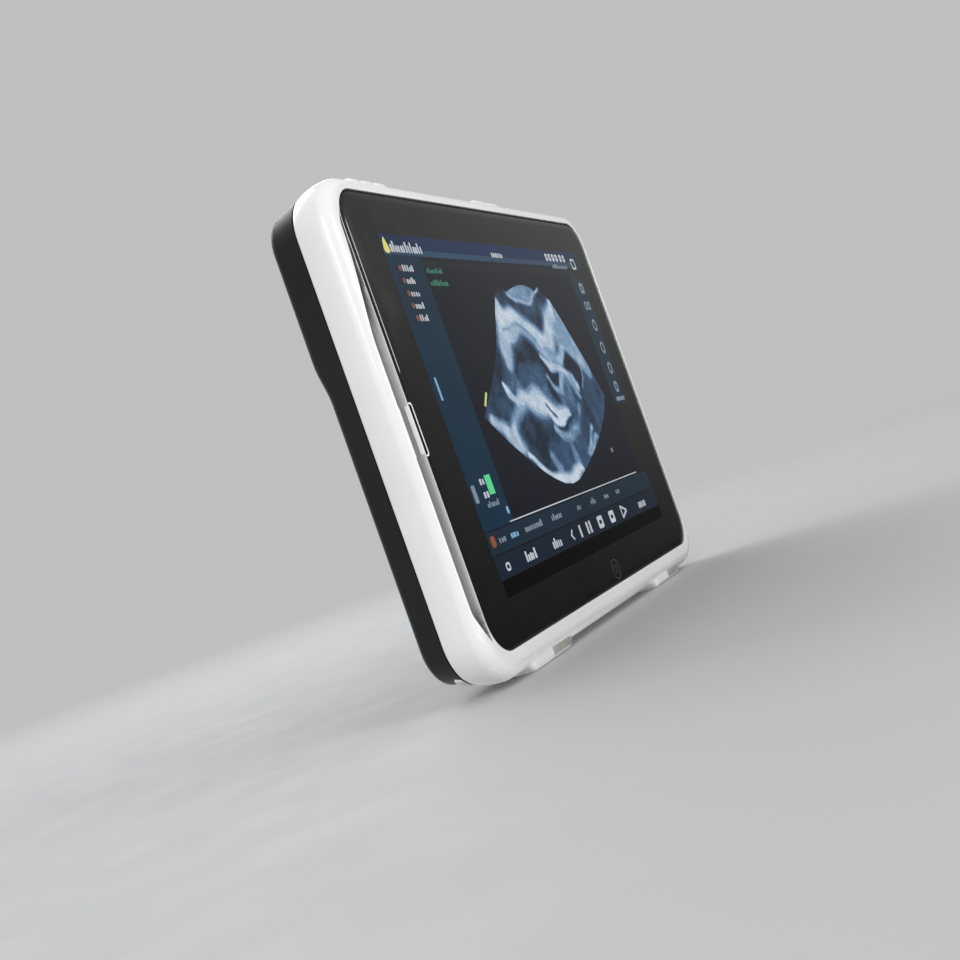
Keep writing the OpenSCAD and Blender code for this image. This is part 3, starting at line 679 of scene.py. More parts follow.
def left_insets(ridge, reach, lip_inset):
    """Insets of the left side's front points, with one row kept on the groove's edge."""
    wall = max(0.05, min(GROOVE_WALL, (GROOVE_RIM - ridge) / 3))
    quarter = math.pi / 2
    turn = (math.acos(1 - ridge / reach) if ridge < reach
            else quarter + (ridge - reach) / reach)
    insets = []
    for k in range(34):
        angle = turn * k / 34
        insets.append(reach * (1 - math.cos(angle) if angle < quarter
                               else 1 + angle - quarter))
    insets += [ridge + wall * k / 4 for k in range(4)]
    return insets + spread(ridge + wall, lip_inset, 16)


def frame_shares():
    """Stations along the straights of the frame, closer where a lug or the groove ends."""
    wide = HALF_W * 2 - 2 * CORNER_R
    ends = [x0 + step for x0 in BOSS_X
            for step in (0, 1, 2, 3, 4, 5, 6, 26.4, 26.8, 27.1, 27.4, 27.7, 28.05)]
    places = sorted(set(spread(-wide / 2, wide / 2, 120) + ends))
    along = [(x + wide / 2) / wide for x in places]
    return [along, spread(0, 1, 60), spread(0, 1, 100), spread(0, 1, 110)]


def front_frame():
    """White frame: one closed loop of sections swept round the housing."""
    shares = frame_shares()
    outer = rounded_path(-HALF_W, HALF_W, BOTTOM, TOP, CORNER_R, shares)
    slack = 0.12
    inner = rounded_path(glass_low.x - slack, glass_high.x + slack, glass_low.z - slack,
                         glass_high.z + slack, GLASS_R + slack, shares)
    profile = outer_profile()
    sections = []
    for (o, n), (q, m) in zip(outer, inner):
        border = (o - q).dot(n)
        reach = min(FRONT_ROUND, border - 1.0)
        on_left = n.x < -0.7
        on_bottom = n.y < -0.999
        turn = math.atan2(n.y, -n.x) * CORNER_R
        place = o.y if n.x < -0.999 else (TOP if n.y > 0 else BOTTOM) - math.copysign(
            CORNER_R, n.y) + turn
        land, lip = o - n * reach, q + m * 0.35
        lip_inset = (o - lip).dot(n)
        section = []
        for kind, inset, depth, under in profile:
            if on_left and kind == "round":
                continue
            inset = inset * reach if kind == "round" else inset
            p = o - n * inset
            if on_bottom and under:
                lug = lug_share(p.x, white=True)
                depth += (under[0] - depth) * lug
                p = Vector((p.x, p.y + (under[1] - p.y) * lug))
            section.append(at(p.x, depth, p.y))
        if on_left:
            plain = ([reach * share for kind, share, _, _ in profile if kind == "round"]
                     + [reach + (lip_inset - reach) * t for t in LAND])
            fitted = left_insets(groove_ridge(place), reach, lip_inset)
            fit = smooth((-n.x - 0.71) / 0.2)
            for first, second in zip(plain, fitted):
                inset = first + (second - first) * fit
                depth, p = -LIP, o - n * inset
                if inset < reach:
                    depth += FRONT_ROUND * (1 - math.sin(math.acos(1 - inset / reach)))
                else:
                    p = land.lerp(lip, (inset - reach) / (lip_inset - reach))
                section.append(at(p.x, grooved(depth, inset, place), p.y))
        else:
            for t in LAND:
                p = land.lerp(lip, t)
                section.append(at(p.x, -LIP, p.y))
        ledge = 3 + 3.6 * (smooth((GROOVE_RIM - groove_ridge(place)) / 2) if on_left else 0)
        inside = [(q + m * 0.1, -LIP + 0.07), (q, -LIP + 0.3), (q, 1.7), (q - m * 4, 1.7),
                  (q - m * 4, ledge), (o - n * WALL, ledge), (o - n * WALL, SEAM)]
        section += [at(p.x, depth, p.y) for p, depth in inside]
        sections.append(section)
    bm = bmesh.new()
    skin(bm, sections)
    piece = new_piece("frame_moulding", bm, "white_shell", "front_frame")
    ways = bmesh.new()
    for node in KEY_NODES:
        low, high = box_mm(node)
        cuboid(ways, (low.x - KEY_GAP, high.x + KEY_GAP),
               (depth_of(low.y * MM) - KEY_GAP, KEY_BACK + KEY_GAP),
               (TOP - KEY_FOOT - 0.2, TOP + 3))
    cut(piece, ways, sharp_deg=40)


def key_caps():
    """Keys with pillowed tops. The lamp lens and the microphone cap sit almost flush."""
    for node in KEY_NODES:
        low, high = box_mm(node)
        x0, x1, d0, d1 = low.x, high.x, depth_of(low.y * MM), KEY_BACK
        bm = bmesh.new()
        grid = []
        for u in spread(-1, 1, 17):
            row = []
            for v in spread(-1, 1, 11):
                crown = 1.5 * abs(u) ** 5 + 0.9 * abs(v) ** 6 + 0.45 * v * v
                row.append(at((x0 + x1) / 2 + u * (x1 - x0) / 2,
                              (d0 + d1) / 2 + v * (d1 - d0) / 2, high.z - crown))
            grid.append(row)
        verts = skin(bm, grid, close_rows=False, close_columns=False)
        rim = ([row[0] for row in verts] + verts[-1][1:]
               + [row[-1] for row in verts[-2::-1]] + verts[0][-2:0:-1])
        foot = [bm.verts.new(Vector((v.co.x, v.co.y, (TOP - KEY_FOOT) * MM))) for v in rim]
        close_off(bm, rim, foot)
        piece = new_piece(node + "_cap", bm, node_slot[node], node,
                          frame["nodes"][node]["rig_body"], sharp_deg=50)
        round_edges(piece, 0.35, 50, 3)
        piece.data.polygons.foreach_set("use_smooth", [True] * len(piece.data.polygons))


def dock_pads():
    """Greige pads on the right half of each lug, over a lighter sill."""
    for side, x0 in zip(("left", "right"), BOSS_X):
        start, end = x0 + BOSS_W / 2 + 0.15, x0 + BOSS_W
        arc = [(PAD_FRONT + TOE - TOE * math.sin(a), TOE - TOE * math.cos(a))
               for a in spread(math.pi / 2, 0, 8)]
        outline = [(PAD_FRONT + 0.9, 5.5), (PAD_FRONT, 5.0)] + arc
        outline += [(11.7, 0), (12.0, 0.3), (12.0, 3.2)]
        bm = bmesh.new()
        grid = []
        places = [start, start + 0.25] + spread(start + 1, end - 6.5, 12)
        for x in places + spread(end - 6, end, 9):
            share = lug_share(x, white=False)
            inset = 0.25 if x == start else 0
            row = []
            for depth, z in outline:
                raised = z + (BOTTOM + 0.6 - z) * (1 - share) if z < BOTTOM + 0.6 else z
                row.append(at(x, depth + inset + (1 - share) * 1.2 * (depth < 3), raised))
            grid.append(row)
        verts = skin(bm, grid, close_rows=False)
        bm.faces.new(verts[0])
        bm.faces.new(verts[-1])
        for face in bm.faces:
            if face.calc_center_median().z < 1.15 * MM:
                face.material_index = 1
        node = "dock_pad_" + side
        new_piece(node + "_insert", bm, "dock_pad", node,
                  materials=[SLOTS["dock_pad"], SLOTS["light_trim"]], sharp_deg=40)


def light_bar():
    """Status light: a bright pipe on the groove's inner rim, a printed outline beside it on
    the glass, and a fine edge line inside the groove."""
    low, high = (corner.z for corner in box_mm("status_light_bar"))
    rim = -HALF_W + 8.3
    bm = bmesh.new()
    prism(bm, rounded_rect(rim - 1.35, rim, low + 0.3, high - 0.2, 0.6), -0.39, 1.1)
    outer = rounded_rect(rim + 0.4, rim + 3.9, low - 0.6, high + 1.0, 1.6)
    inner = rounded_rect(rim + 0.1, rim + 3.1, low + 0.2, high + 0.2, 0.9)
    raised_ring(bm, outer, inner, -0.04, 0.4)
    new_piece("status_light_pipe", bm, "light_pipe", "status_light_bar", sharp_deg=45)
    edge = bmesh.new()
    prism(edge, rounded_rect(rim - 4.6, rim - 4.0, low, high, 0.3), 2.0, 5.4)
    new_piece("status_light_edge", edge, "light_trim", sharp_deg=45)


# ---------- rear cover ----------


def back_depth(z):
    """Depth of the cover's back: the hump above, the thinner part below."""
    return LOW_BACK + (HUMP - LOW_BACK) * smooth((z - STEP_LOW) / (STEP_HIGH - STEP_LOW))


def cover_shell():
    """Closed shell of the rear cover before anything is cut into it."""
    straight = (BOTTOM + CORNER_R, TOP - CORNER_R)
    heights = ([straight[0], 60, 95, 125] + spread(STEP_LOW, STEP_HIGH, 13)
               + [165, 182, straight[1]])
    rising = [(z - straight[0]) / (straight[1] - straight[0]) for z in heights]
    shares = [spread(0, 1, 5), rising, spread(0, 1, 5), [1 - t for t in reversed(rising)]]
    path = rounded_path(-HALF_W, HALF_W, BOTTOM, TOP, CORNER_R, shares, steps=14)
    round_depth, round_end = 4.6, 9.6  # depth of the back's round edge, and where it ends
    sections = []
    for o, n in path:
        back = back_depth((o - n * round_end).y)
        start_depth = back - round_depth
        start = SIDE_DRAFT + 0.241 * (start_depth - COVER_FRONT)
        inner_back = 25.7 if back < (LOW_BACK + HUMP) / 2 else back - 2.3
        outer = [(SIDE_DRAFT + 0.4, COVER_FRONT), (SIDE_DRAFT + 0.08, COVER_FRONT + 0.12),
                 (SIDE_DRAFT + 0.05, COVER_FRONT + 0.45)]
        outer += [(start + (round_end - start) * (1 - math.cos(a)),
                   start_depth + round_depth * math.sin(a)) for a in spread(0, math.pi / 2, 9)]
        inner = [(round_end + 0.5, inner_back), (7, inner_back), (WALL, COVER_FRONT)]
        sections.append([at(p.x, depth, p.y) for inset, depth in outer + inner
                         for p in [o - n * inset]])
    bm = bmesh.new()
    rows = [[section[j] for section in sections] for j in range(len(sections[0]))]
    last_outer = len(rows) - 4
    verts = [[bm.verts.new(p) for p in row] for row in rows]
    count = len(sections)
    for j in range(len(rows)):
        if j == last_outer:
            continue
        a, b = verts[j], verts[(j + 1) % len(rows)]
        for i in range(count):
            k = (i + 1) % count
            bm.faces.new((a[i], a[k], b[k], b[i]))
    flat, side = len(shares[0]), len(rising) + 2 * 13
    for ring in (verts[last_outer], verts[last_outer + 1]):
        right_side = [ring[flat - 1 + i] for i in range(side + 2)]
        left_side = [ring[(count - i) % count] for i in range(side + 2)]
        bm.faces.new(ring[:flat] + [right_side[1], left_side[1]])
        for i in range(1, side):
            bm.faces.new((right_side[i], right_side[i + 1], left_side[i + 1], left_side[i]))
        top_run = ring[flat - 1 + side + 1:flat - 1 + side + 1 + flat]
        bm.faces.new([right_side[side]] + top_run + [left_side[side]])
    return new_piece("cover_moulding", bm, "black_shell", "rear_cover")


BEYOND = 40  # a depth behind the whole cover, where the cutting shapes end


def cover_cutters():
    """Everything cut out of the rear cover, as one set of closed shapes."""
    bm = bmesh.new()
    stand_low, stand_high = box_mm("kickstand")
    slack, leg, bar = 0.4, 14, 14
    half, inner = stand_high.x + slack, stand_high.x - leg - slack
    foot, pivot = stand_low.z - slack, stand_high.z + 0.45
    notch = 17
    prism(bm, [(-half, foot), (-notch, foot), (-notch, foot - 5.2), (notch, foot - 5.2),
               (notch, foot), (half, foot), (half, pivot), (inner, pivot),
               (inner, foot + bar + 2 * slack), (-inner, foot + bar + 2 * slack),
               (-inner, pivot), (-half, pivot)], 27.9, BEYOND)
    low, high = box_mm("battery_pack")
    prism(bm, rounded_rect(low.x - 0.3, high.x + 0.3, low.z - 0.3, high.z + 0.3, 1.2, 3), 14,
          BEYOND)
    slider_left = box_mm("probe_lock_slider")[0].x - 0.4
    for node, x0, right_room, top_room in (("battery_latch", 35.6, 5, 0.6),
                                           ("probe_lock_slider", slider_left, 0.4, 6.4)):
        low, high = box_mm(node)
        prism(bm, rounded_rect(x0, high.x + right_room, low.z - 0.4, high.z + top_room, 0.8, 3),
              depth_of(high.y * MM) - 1.2, BEYOND)
    low, high = box_mm("mount_inserts")
    r = 2.9
    for x in (low.x + r, high.x - r):
        for z in (low.z + r, high.z - r):
            prism(bm, disc(x, z, r + 0.05), 24.2, BEYOND)
    for x, z in screw_places():
        prism(bm, disc(x, z, 3.2), 29.4, BEYOND)
    for low_z, x0, x1 in air_slots():
        prism(bm, rounded_rect(x0, x1, low_z, low_z + 2, 1.0, 4), 28, BEYOND)
    for side in (-1, 1):
        for i in range(-2, 3):
            x = side * 116 + 5 * i
            prism(bm, rounded_rect(x - 1, x + 1, 30, 42, 1.0, 4), 28.5, BEYOND)
    for z in range(160, 204, 4):
        side_prism(bm, rounded_rect(21.7, 29.3, z, z + 2, 0.9, 4), HALF_W - 14, HALF_W + 2)
    probe_socket = rounded_rect(21.4, 29.6, 25.5, 59, 0.8, 4)
    port_pocket = rounded_rect(20.7, 29.7, 60.4, 117.6, 0.8, 4)
    for opening in (probe_socket, port_pocket, disc(25.5, 142.5, 3.7)):
        side_prism(bm, opening, HALF_W - 9, HALF_W + 2)
    return bm


def screw_places():
    """Centres of the case screws' heads, from the screws' own mesh."""
    mesh = frame["nodes"]["case_screws"].data
    back = max(v.co.y for v in mesh.vertices)
    heads = {}
    for v in mesh.vertices:
        if v.co.y > back - 0.3 * MM:
            key = (round(v.co.x / MM / 12), round(v.co.z / MM / 12))
            heads.setdefault(key, []).append(v.co / MM)
    return [((min(p.x for p in c) + max(p.x for p in c)) / 2,
             (min(p.z for p in c) + max(p.z for p in c)) / 2) for c in heads.values()]


def air_slots():
    """The fan's slots: (lowest z, x range) of each, cut to a circle like the fan."""
    low, high = box_mm("fan_impeller")
    centre = (low + high) / 2
    radius = (high.x - low.x) / 2 + 1
    slots = []
    for i in range(-4, 5):
        z = centre.z + 4.4 * i
        half = math.sqrt(max(0, radius ** 2 - (4.4 * i) ** 2))
        slots.append((z - 1, centre.x - half, centre.x + half))
    return slots


def rear_cover():
    piece = cover_shell()
    cut(piece, cover_cutters(), bevel_mm=0.3, sharp_deg=32)


# ---------- screen ----------

LCD_X, LCD_W, LCD_H = 5.9, 256, 163.3
LCD_LEFT = LCD_X - LCD_W / 2
LCD_TOP = 114.8 + LCD_H / 2


def screen_point(across, down):
    """x and z of a place on the screen, measured from its top left corner."""
    return LCD_LEFT + across, LCD_TOP - down


def glass():
    """Cover glass: a black seal round its edge, then a polished bevel, then the front."""
    shares = [spread(0, 1, 3)] * 4
    x0, x1, z0, z1 = glass_low.x, glass_high.x, glass_low.z, glass_high.z
    path = rounded_path(x0, x1, z0, z1, GLASS_R, shares, steps=24)
    seal, flat = 0.9, 4.2
    steps = [(0, 1.1), (0, 0.48), (0.1, 0.42), (seal - 0.05, 0.42), (seal, 0.44),
             (seal + 0.05, 0.36)]
    steps += [(i, 0.36 * ((flat - i) / (flat - seal)) ** 2)
              for i in spread(seal + 0.2, flat, 9)]
    rings = [[at(p.x, depth, p.y) for o, n in path for p in [o - n * inset]]
             for inset, depth in steps]
    bm = bmesh.new()
    verts = skin(bm, rings, close_rows=False)
    bm.faces.new(verts[0])
    bm.faces.new(verts[-1])
    bm.faces.ensure_lookup_table()
    for i, face in enumerate(bm.faces):
        face.material_index = 1 if i // len(path) in (1, 2, 3) else 0
    new_piece("glass_plate", bm, "cover_glass", "glass_panel",
              materials=[SLOTS["cover_glass"], SLOTS["seal_rubber"]], sharp_deg=25)


def key_ring():
    """Touch key: a printed ring with a smaller round-cornered mark in it."""
    low, high = box_mm("home_key_ring")
    x, z, r = (low.x + high.x) / 2, (low.z + high.z) / 2, (high.x - low.x) / 2
    bm = bmesh.new()
    for outer, inner in ((disc(x, z, r, 64), disc(x, z, r - 0.55, 64)),
                         (rounded_rect(x - 1.7, x + 1.7, z - 1.7, z + 1.7, 0.8),
                          rounded_rect(x - 1.4, x + 1.4, z - 1.4, z + 1.4, 0.6))):
        raised_ring(bm, outer, inner, -0.03, 0.02)
    new_piece("home_key_print", bm, "printed_ring", "home_key_ring")


# ---------- picture on the screen ----------

TONES = {
    "image_ground": (10, 15, 27), "bar_navy": (8, 36, 70), "bar_navy_light": (40, 65, 90),
    "bar_grey": (17, 24, 33), "column_teal": (8, 41, 61), "bar_teal": (20, 39, 54),
    "bar_ink": (16, 29, 44), "column_slate": (14, 38, 54), "strip_black": (2, 2, 3),
    "print_white": (184, 190, 196), "print_pale": (118, 130, 142), "print_blue": (120, 170, 205),
    "tick_orange": (136, 76, 52), "mark_yellow": (222, 214, 120), "mark_green": (86, 208, 138),
    "print_green": (48, 112, 92), "tick_lime": (190, 200, 110),
}


PATCH_BACK = 0.02
LEVEL_STEP = 0.012  # how far each level of patches stands in front of the one below


def flat_patch(bm, tone, outline, level):
    prism(bm, outline, -LEVEL_STEP * level, PATCH_BACK, list(TONES).index(tone))


def plate(bm, tone, left, right, top, bottom, r=0.0, level=2):
    """A flat patch of one tone, between places measured across and down the screen."""
    x0, z0 = screen_point(left, bottom)
    x1, z1 = screen_point(right, top)
    square = [(x0, z0), (x1, z0), (x1, z1), (x0, z1)]
    flat_patch(bm, tone, rounded_rect(x0, x1, z0, z1, r, 4) if r else square, level)


def print_line(bm, tone, left, width, top, height, count):
    """A stand-in for a line of small print: upright blocks of uneven height."""
    step = width / count
    for i in range(count):
        tall = height * random.choice((0.62, 0.7, 0.7, 1.0))
        start = left + i * step
        plate(bm, tone, start, start + step * random.uniform(0.55, 0.85),
              top + height - tall, top + height, 0.12 * height, 3)


def ring_icon(bm, tone, across, down, width, height, r, line):
    """A rounded outline, for the tool icons."""
    x, z = screen_point(across, down)
    outer = rounded_rect(x - width / 2, x + width / 2, z - height / 2, z + height / 2, r, 5)
    inner = rounded_rect(x - width / 2 + line, x + width / 2 - line, z - height / 2 + line,
                         z + height / 2 - line, r - line * 0.6, 5)
    count = len(bm.faces)
    raised_ring(bm, outer, inner, -0.036, PATCH_BACK)
    bm.faces.ensure_lookup_table()
    for face in bm.faces[count:]:
        face.material_index = list(TONES).index(tone)


def flag_icon(bm, tone, points):
    """A flat patch with any outline, in places across and down."""
    flat_patch(bm, tone, [screen_point(*p) for p in points], 3)


def screen_interface():
    """Everything on the screen but the echo image, with print reduced to plain blocks."""
    bm = bmesh.new()
    plate(bm, "image_ground", 0, 228.5, 0, 155.6, level=1)
    for tone, *place in (("bar_navy", 0, 238, 0, 6.6), ("bar_navy_light", 0, 238, 6.6, 9.4),
                         ("column_slate", 238, 256, 0, 10), ("bar_grey", 34, 228, 11.4, 14.8),
                         ("column_teal", 0, 33.6, 9.4, 134), ("bar_teal", 0, 238, 134.6, 144.6),
                         ("bar_ink", 0, 240, 145.4, 155.6), ("strip_black", 0, 240, 155.6, 163.2),
                         ("column_slate", 228.5, 250, 15.5, 93),
                         ("print_white", 29, 221, 133.1, 133.7)):
        plate(bm, tone, *place)
    flag_icon(bm, "mark_yellow", [(1.2, 6.4), (2.2, 3.2), (3.8, 1.2), (4.9, 3.0), (6.2, 6.0),
                                  (6.4, 8.0), (4.6, 8.9), (2.4, 8.7), (1.3, 7.8)])
    print_line(bm, "print_white", 7.2, 32, 3.0, 5.2, 13)
    print_line(bm, "print_white", 119.5, 15, 3.4, 3.6, 6)
    for across in (200, 205, 210.5, 216, 222.5, 228):
        ring_icon(bm, "print_white", across, 4.2, 3.6, 4.4, 1.2, 1.3)
    print_line(bm, "print_pale", 205, 25, 8.2, 2.4, 11)
    ring_icon(bm, "print_white", 242, 7.2, 7.2, 6.6, 1.6, 1.2)
    print_line(bm, "print_green", 35.5, 17, 14.6, 2.6, 8)
    print_line(bm, "print_green", 35.5, 19, 20.2, 3.0, 9)
    for down, width, count in ((15.5, 11, 5), (21.2, 9, 4), (27.0, 9, 4), (32.6, 9, 4),
                               (38.3, 9, 4)):
        plate(bm, "tick_orange", 8.6, 11, down - 1.3, down + 1.3, 1.0, 3)
        print_line(bm, "print_white", 12, width, down - 1.6, 3.0, count)
    plate(bm, "print_blue", 4.4, 6.4, 65, 75.5, 0.8, 3)
    plate(bm, "print_pale", 2.2, 6.0, 113.5, 121.5, 0.8, 3)
    for top in (110.5, 116.5):
        print_line(bm, "print_white", 12.6, 6, top, 4, 2)
    plate(bm, "mark_green", 18.8, 25, 110.8, 119.6, 0.4, 3)
    print_line(bm, "print_pale", 12.6, 13, 122, 2.8, 6)
    plate(bm, "print_blue", 30, 32.4, 126.6, 130, 0.8, 3)
    plate(bm, "tick_orange", 3, 7.8, 136.4, 141.4, 1.6, 3)
    for left, width, count in ((11.6, 8, 3), (25, 9, 4), (42, 22, 8), (76.5, 14, 6),
                               (113, 6, 3), (134, 8, 3), (156, 7, 3), (176, 7, 3)):
        tone = "print_blue" if left == 25 else "print_pale"
        print_line(bm, tone, left, width, 137.4, 3.2, count)
    ring_icon(bm, "print_white", 11.4, 151, 4.8, 3.8, 1.6, 1.0)
    for left, width, count in ((32.5, 13, 5), (67, 12, 5), (205, 13, 5)):
        print_line(bm, "print_white", left, width, 148, 5, count)
    flag_icon(bm, "print_white", [(92.4, 150.4), (95.6, 147.6), (96.4, 148.4), (94.2, 150.4),
                                  (96.4, 152.6), (95.6, 153.4)])
    for left, right in ((105.4, 107.8), (116, 118.6), (120.4, 123)):
        plate(bm, "print_white", left, right, 147.4, 153.6, 0.3, 3)
    for across in (137.8, 157):
        ring_icon(bm, "print_white", across, 150.5, 8, 6.4, 1.2, 2.2)
    for points in ([(173.4, 147), (174.8, 147), (174.8, 154), (173.4, 154)],
                   [(174.8, 146.9), (182.6, 149.8), (182.6, 151.2), (174.8, 154),
                    (174.8, 152.6), (180.4, 150.5), (174.8, 148.3)]):
        flag_icon(bm, "print_white", points)
    ring_icon(bm, "print_pale", 242, 22.2, 6.6, 6.4, 1.0, 2.0)
    for across in (238.6, 243.8):
        ring_icon(bm, "print_pale", across, 33, 4.4, 5.2, 1.4, 1.3)
    for down in (45, 58.8, 71.5):
        ring_icon(bm, "print_pale", 241.5, down, 6.6, 7.4, 3.3, 1.4)
    ring_icon(bm, "print_pale", 240.6, 83, 6, 6.6, 1.4, 1.8)
    plate(bm, "print_pale", 233, 248, 89, 91.4, 0.8, 3)
    flag_icon(bm, "tick_lime", [(46, 80.6), (52.4, 74.4), (53.8, 75.2), (47.4, 81.4)])
    plate(bm, "print_pale", 192.4, 195.4, 116, 118.6, 0.8, 3)
    materials = [lit("screen_" + tone, srgb(*colour), 30 + 7 * i % 25,
                     specular=0.1 if tone == "strip_black" else DISPLAY_SPECULAR)
                 for i, (tone, colour) in enumerate(TONES.items())]
    new_piece("screen_interface", bm, "screen_picture", "lcd_panel", materials=materials)


# The echo image, painted in order. Each stroke is a level of brightness, a softness, and
# a run of (across, down, half width).
STROKES = (
    (0.50, 1.0, (96, 72, 14), (120, 70, 12), (135, 74, 9)),
    (0.46, 1.0, (150, 85, 12), (165, 88, 10)),
    (0.30, 1.0, (186, 88, 12), (205, 88, 9), (196, 98, 10)),
    (0.22, 1.0, (60, 74, 8), (76, 64, 7), (92, 46, 5)),
    (0.62, 0.6, (122, 26, 2), (132, 25.5, 3.6), (144, 25, 4.6), (156, 25, 3.4), (165, 25.5, 1.6)),
    (0.14, 0.8, (112, 27, 6), (116, 22, 4)),
    (0.14, 0.8, (166, 30, 5), (172, 25, 4)),
    (0.26, 0.7, (110, 34, 3.6), (121, 32, 3.4), (131, 35.5, 4), (141, 41, 5), (150, 44, 6),
     (158, 40, 5), (166, 34, 4), (172, 31, 4)),
    (0.80, 0.5, (122, 26, 0.7), (130, 30, 1.0), (140, 31.6, 1.2), (150, 30.6, 1.1),
     (160, 27, 1), (168, 22.6, 0.8)),
    (0.80, 0.7, (104, 31, 3), (100, 42, 6), (95, 53, 5.5), (90.5, 63, 3)),
    (0.72, 0.8, (170, 45, 8), (180, 44, 9), (188, 54, 8), (196, 64, 5), (202, 73, 3)),
    (0.88, 0.6, (103, 38, 4), (111, 40, 4.4), (120, 38.6, 4), (130, 42, 4), (138, 48, 4.2),
     (147, 53, 4.4), (155, 53, 4.6), (162, 47, 4.4), (168, 41, 4.4), (174, 36, 4), (178, 31, 2)),
    (0.58, 0.6, (100, 46, 1), (112, 43.6, 1), (122, 43, 1), (131, 47, 1.2), (140, 54, 1.2)),
    (0.78, 0.7, (94, 57, 3), (104, 49, 3.4), (114, 47, 3.2), (125, 48, 3.2), (134, 54, 3.2),
     (142, 60, 3), (151, 63.5, 3), (160, 64, 2.6), (172, 59, 3), (186, 59, 2.6)),
    (0.20, 0.7, (98, 67, 1.6), (108, 60, 3.6), (120, 57, 5), (130, 59, 5.4), (137, 64, 4.4),
     (143, 69, 4), (148, 72, 4.6)),
    (0.11, 0.5, (145, 72, 3.6), (151, 72, 3)),
    (0.86, 0.5, (138, 60, 1.4), (144, 66, 2), (155, 68.4, 1.8), (164, 69, 1.8), (171, 73, 2.4),
     (177, 79, 1.6)),
    (0.40, 0.7, (104, 70, 4), (118, 69, 4), (130, 71, 4)),
    (0.10, 0.4, (171, 66, 2.2), (177, 66, 4.6), (182, 70, 5.4), (184, 74, 5), (178, 73, 3)),
    (0.62, 0.5, (184, 81, 0.7), (189, 75, 1), (190.6, 67, 1), (188, 61.5, 0.8)),
    (0.28, 0.8, (196, 76, 2), (205, 84, 3)),
    (0.74, 0.5, (136, 72, 1.4), (141, 77.4, 1.8), (148, 79.2, 1.7), (154, 75.4, 1.8),
     (160, 71.6, 1.6)),
    (0.24, 0.7, (136, 77, 2), (140, 85, 2.4)),
    (0.70, 0.7, (168, 74, 2.6), (172, 80, 2.2), (175, 84, 1)),
    (0.93, 0.6, (86, 84, 2.4), (95, 81.6, 4), (106, 83.5, 5.6), (116, 85, 6), (124, 87, 4.6),
     (132, 91.4, 3), (141, 92, 2.4), (150, 90.6, 1.2)),
    (0.36, 0.5, (122, 86, 0.8), (124, 90, 1.1), (129, 92.2, 0.9)),
    (0.34, 0.8, (66, 84, 6), (76, 86, 5)),
    (0.80, 0.7, (86, 84, 2.6), (78, 90, 3), (70, 96, 3.6), (76, 103, 3)),
    (0.86, 0.7, (50, 89, 2.4), (58, 92.5, 3.6), (66, 98, 4), (73, 103, 3)),
    (0.92, 0.5, (75, 71, 1), (80, 76, 2), (86, 81.4, 1.4)),
    (0.24, 0.9, (86, 98, 7), (96, 102, 10), (106, 103, 8)),
    (0.30, 0.7, (121, 99, 2.4), (124, 107, 3)),
    (0.94, 0.5, (121, 89, 1.2), (124, 94, 2), (131, 96.4, 1.9), (141, 95.6, 1.5), (151, 92.6, 1)),
    (0.26, 0.5, (128, 98.6, 0.6), (138, 98.8, 1), (149, 96, 0.9), (157, 92, 0.6)),
    (0.76, 0.6, (122, 99, 1.4), (130, 103.4, 2.4), (141, 104.6, 2.4), (153, 101.6, 2),
     (163, 96, 1.6), (169, 90, 1.2)),
    (0.40, 0.9, (112, 112, 5), (130, 112, 5), (150, 110, 5)),
    (0.30, 0.8, (160, 104, 5), (172, 97, 5)),
    (0.62, 0.7, (106, 112, 2), (109, 119, 3)),
    (0.60, 0.7, (136, 110, 2), (138, 117, 3)),
    (0.95, 0.5, (76, 108, 1.2), (86, 114.4, 1.5), (97, 120, 1.8), (109, 124.4, 2.2),
     (120, 124.6, 3), (130, 123.4, 3), (140, 121, 1.6)),
    (0.74, 0.6, (158, 116, 1.2), (169, 112, 1.5), (179, 107.6, 1.3)),
    (0.72, 0.6, (160, 113, 0.9), (168, 108.6, 1.2), (176, 102.4, 1.3)),
)
SECTOR_TOP = ((42, 86), (50, 80), (60, 73), (70, 66), (78, 59.5), (85, 52), (92, 44), (98, 36),
              (104, 28.8), (110, 23.6), (115, 20.8), (118, 23.4), (122, 25.4), (130, 23.4),
              (140, 21.6), (148, 21.4), (156, 22.6), (163, 24.6), (168, 21.8), (173, 24.2),
              (177, 28.6), (180, 29.8), (186, 38.4), (192, 48), (198, 57.6), (204, 67.4),
              (210, 78.4), (214, 87))
SECTOR_BOTTOM = ((42, 86), (50, 92.6), (60, 100), (70, 106.6), (80, 112.8), (90, 118.2),
                 (100, 122.6), (110, 126), (120, 127.3), (130, 126.4), (140, 123.8), (150, 120.6),
                 (160, 117), (170, 113.2), (180, 109), (190, 104.2), (200, 98.4), (208, 92.6),
                 (214, 87))


def height_along(curve, across):
    for (a0, d0), (a1, d1) in zip(curve, curve[1:]):
        if across <= a1:
            return d0 + (d1 - d0) * (across - a0) / (a1 - a0)
    return curve[-1][1]


def stroke_cover(stroke, across, down):
    """How fully a stroke covers a place: 1 on its spine, fading out past its half width."""
    softness, points = stroke[1], stroke[2:]
    cover = 0
    for (a0, d0, w0), (a1, d1, w1) in zip(points, points[1:]):
        run, fall = a1 - a0, d1 - d0
        t = ((across - a0) * run + (down - d0) * fall) / (run * run + fall * fall)
        t = min(1, max(0, t))
        reach = w0 + (w1 - w0) * t
        gap = math.hypot(across - a0 - run * t, down - d0 - fall * t)
        edge = 0.5 + softness
        if gap < reach * (1 + edge):
            cover = max(cover, 1 - smooth((gap / reach - 1 + edge / 2) / (1.5 * edge)))
    return cover


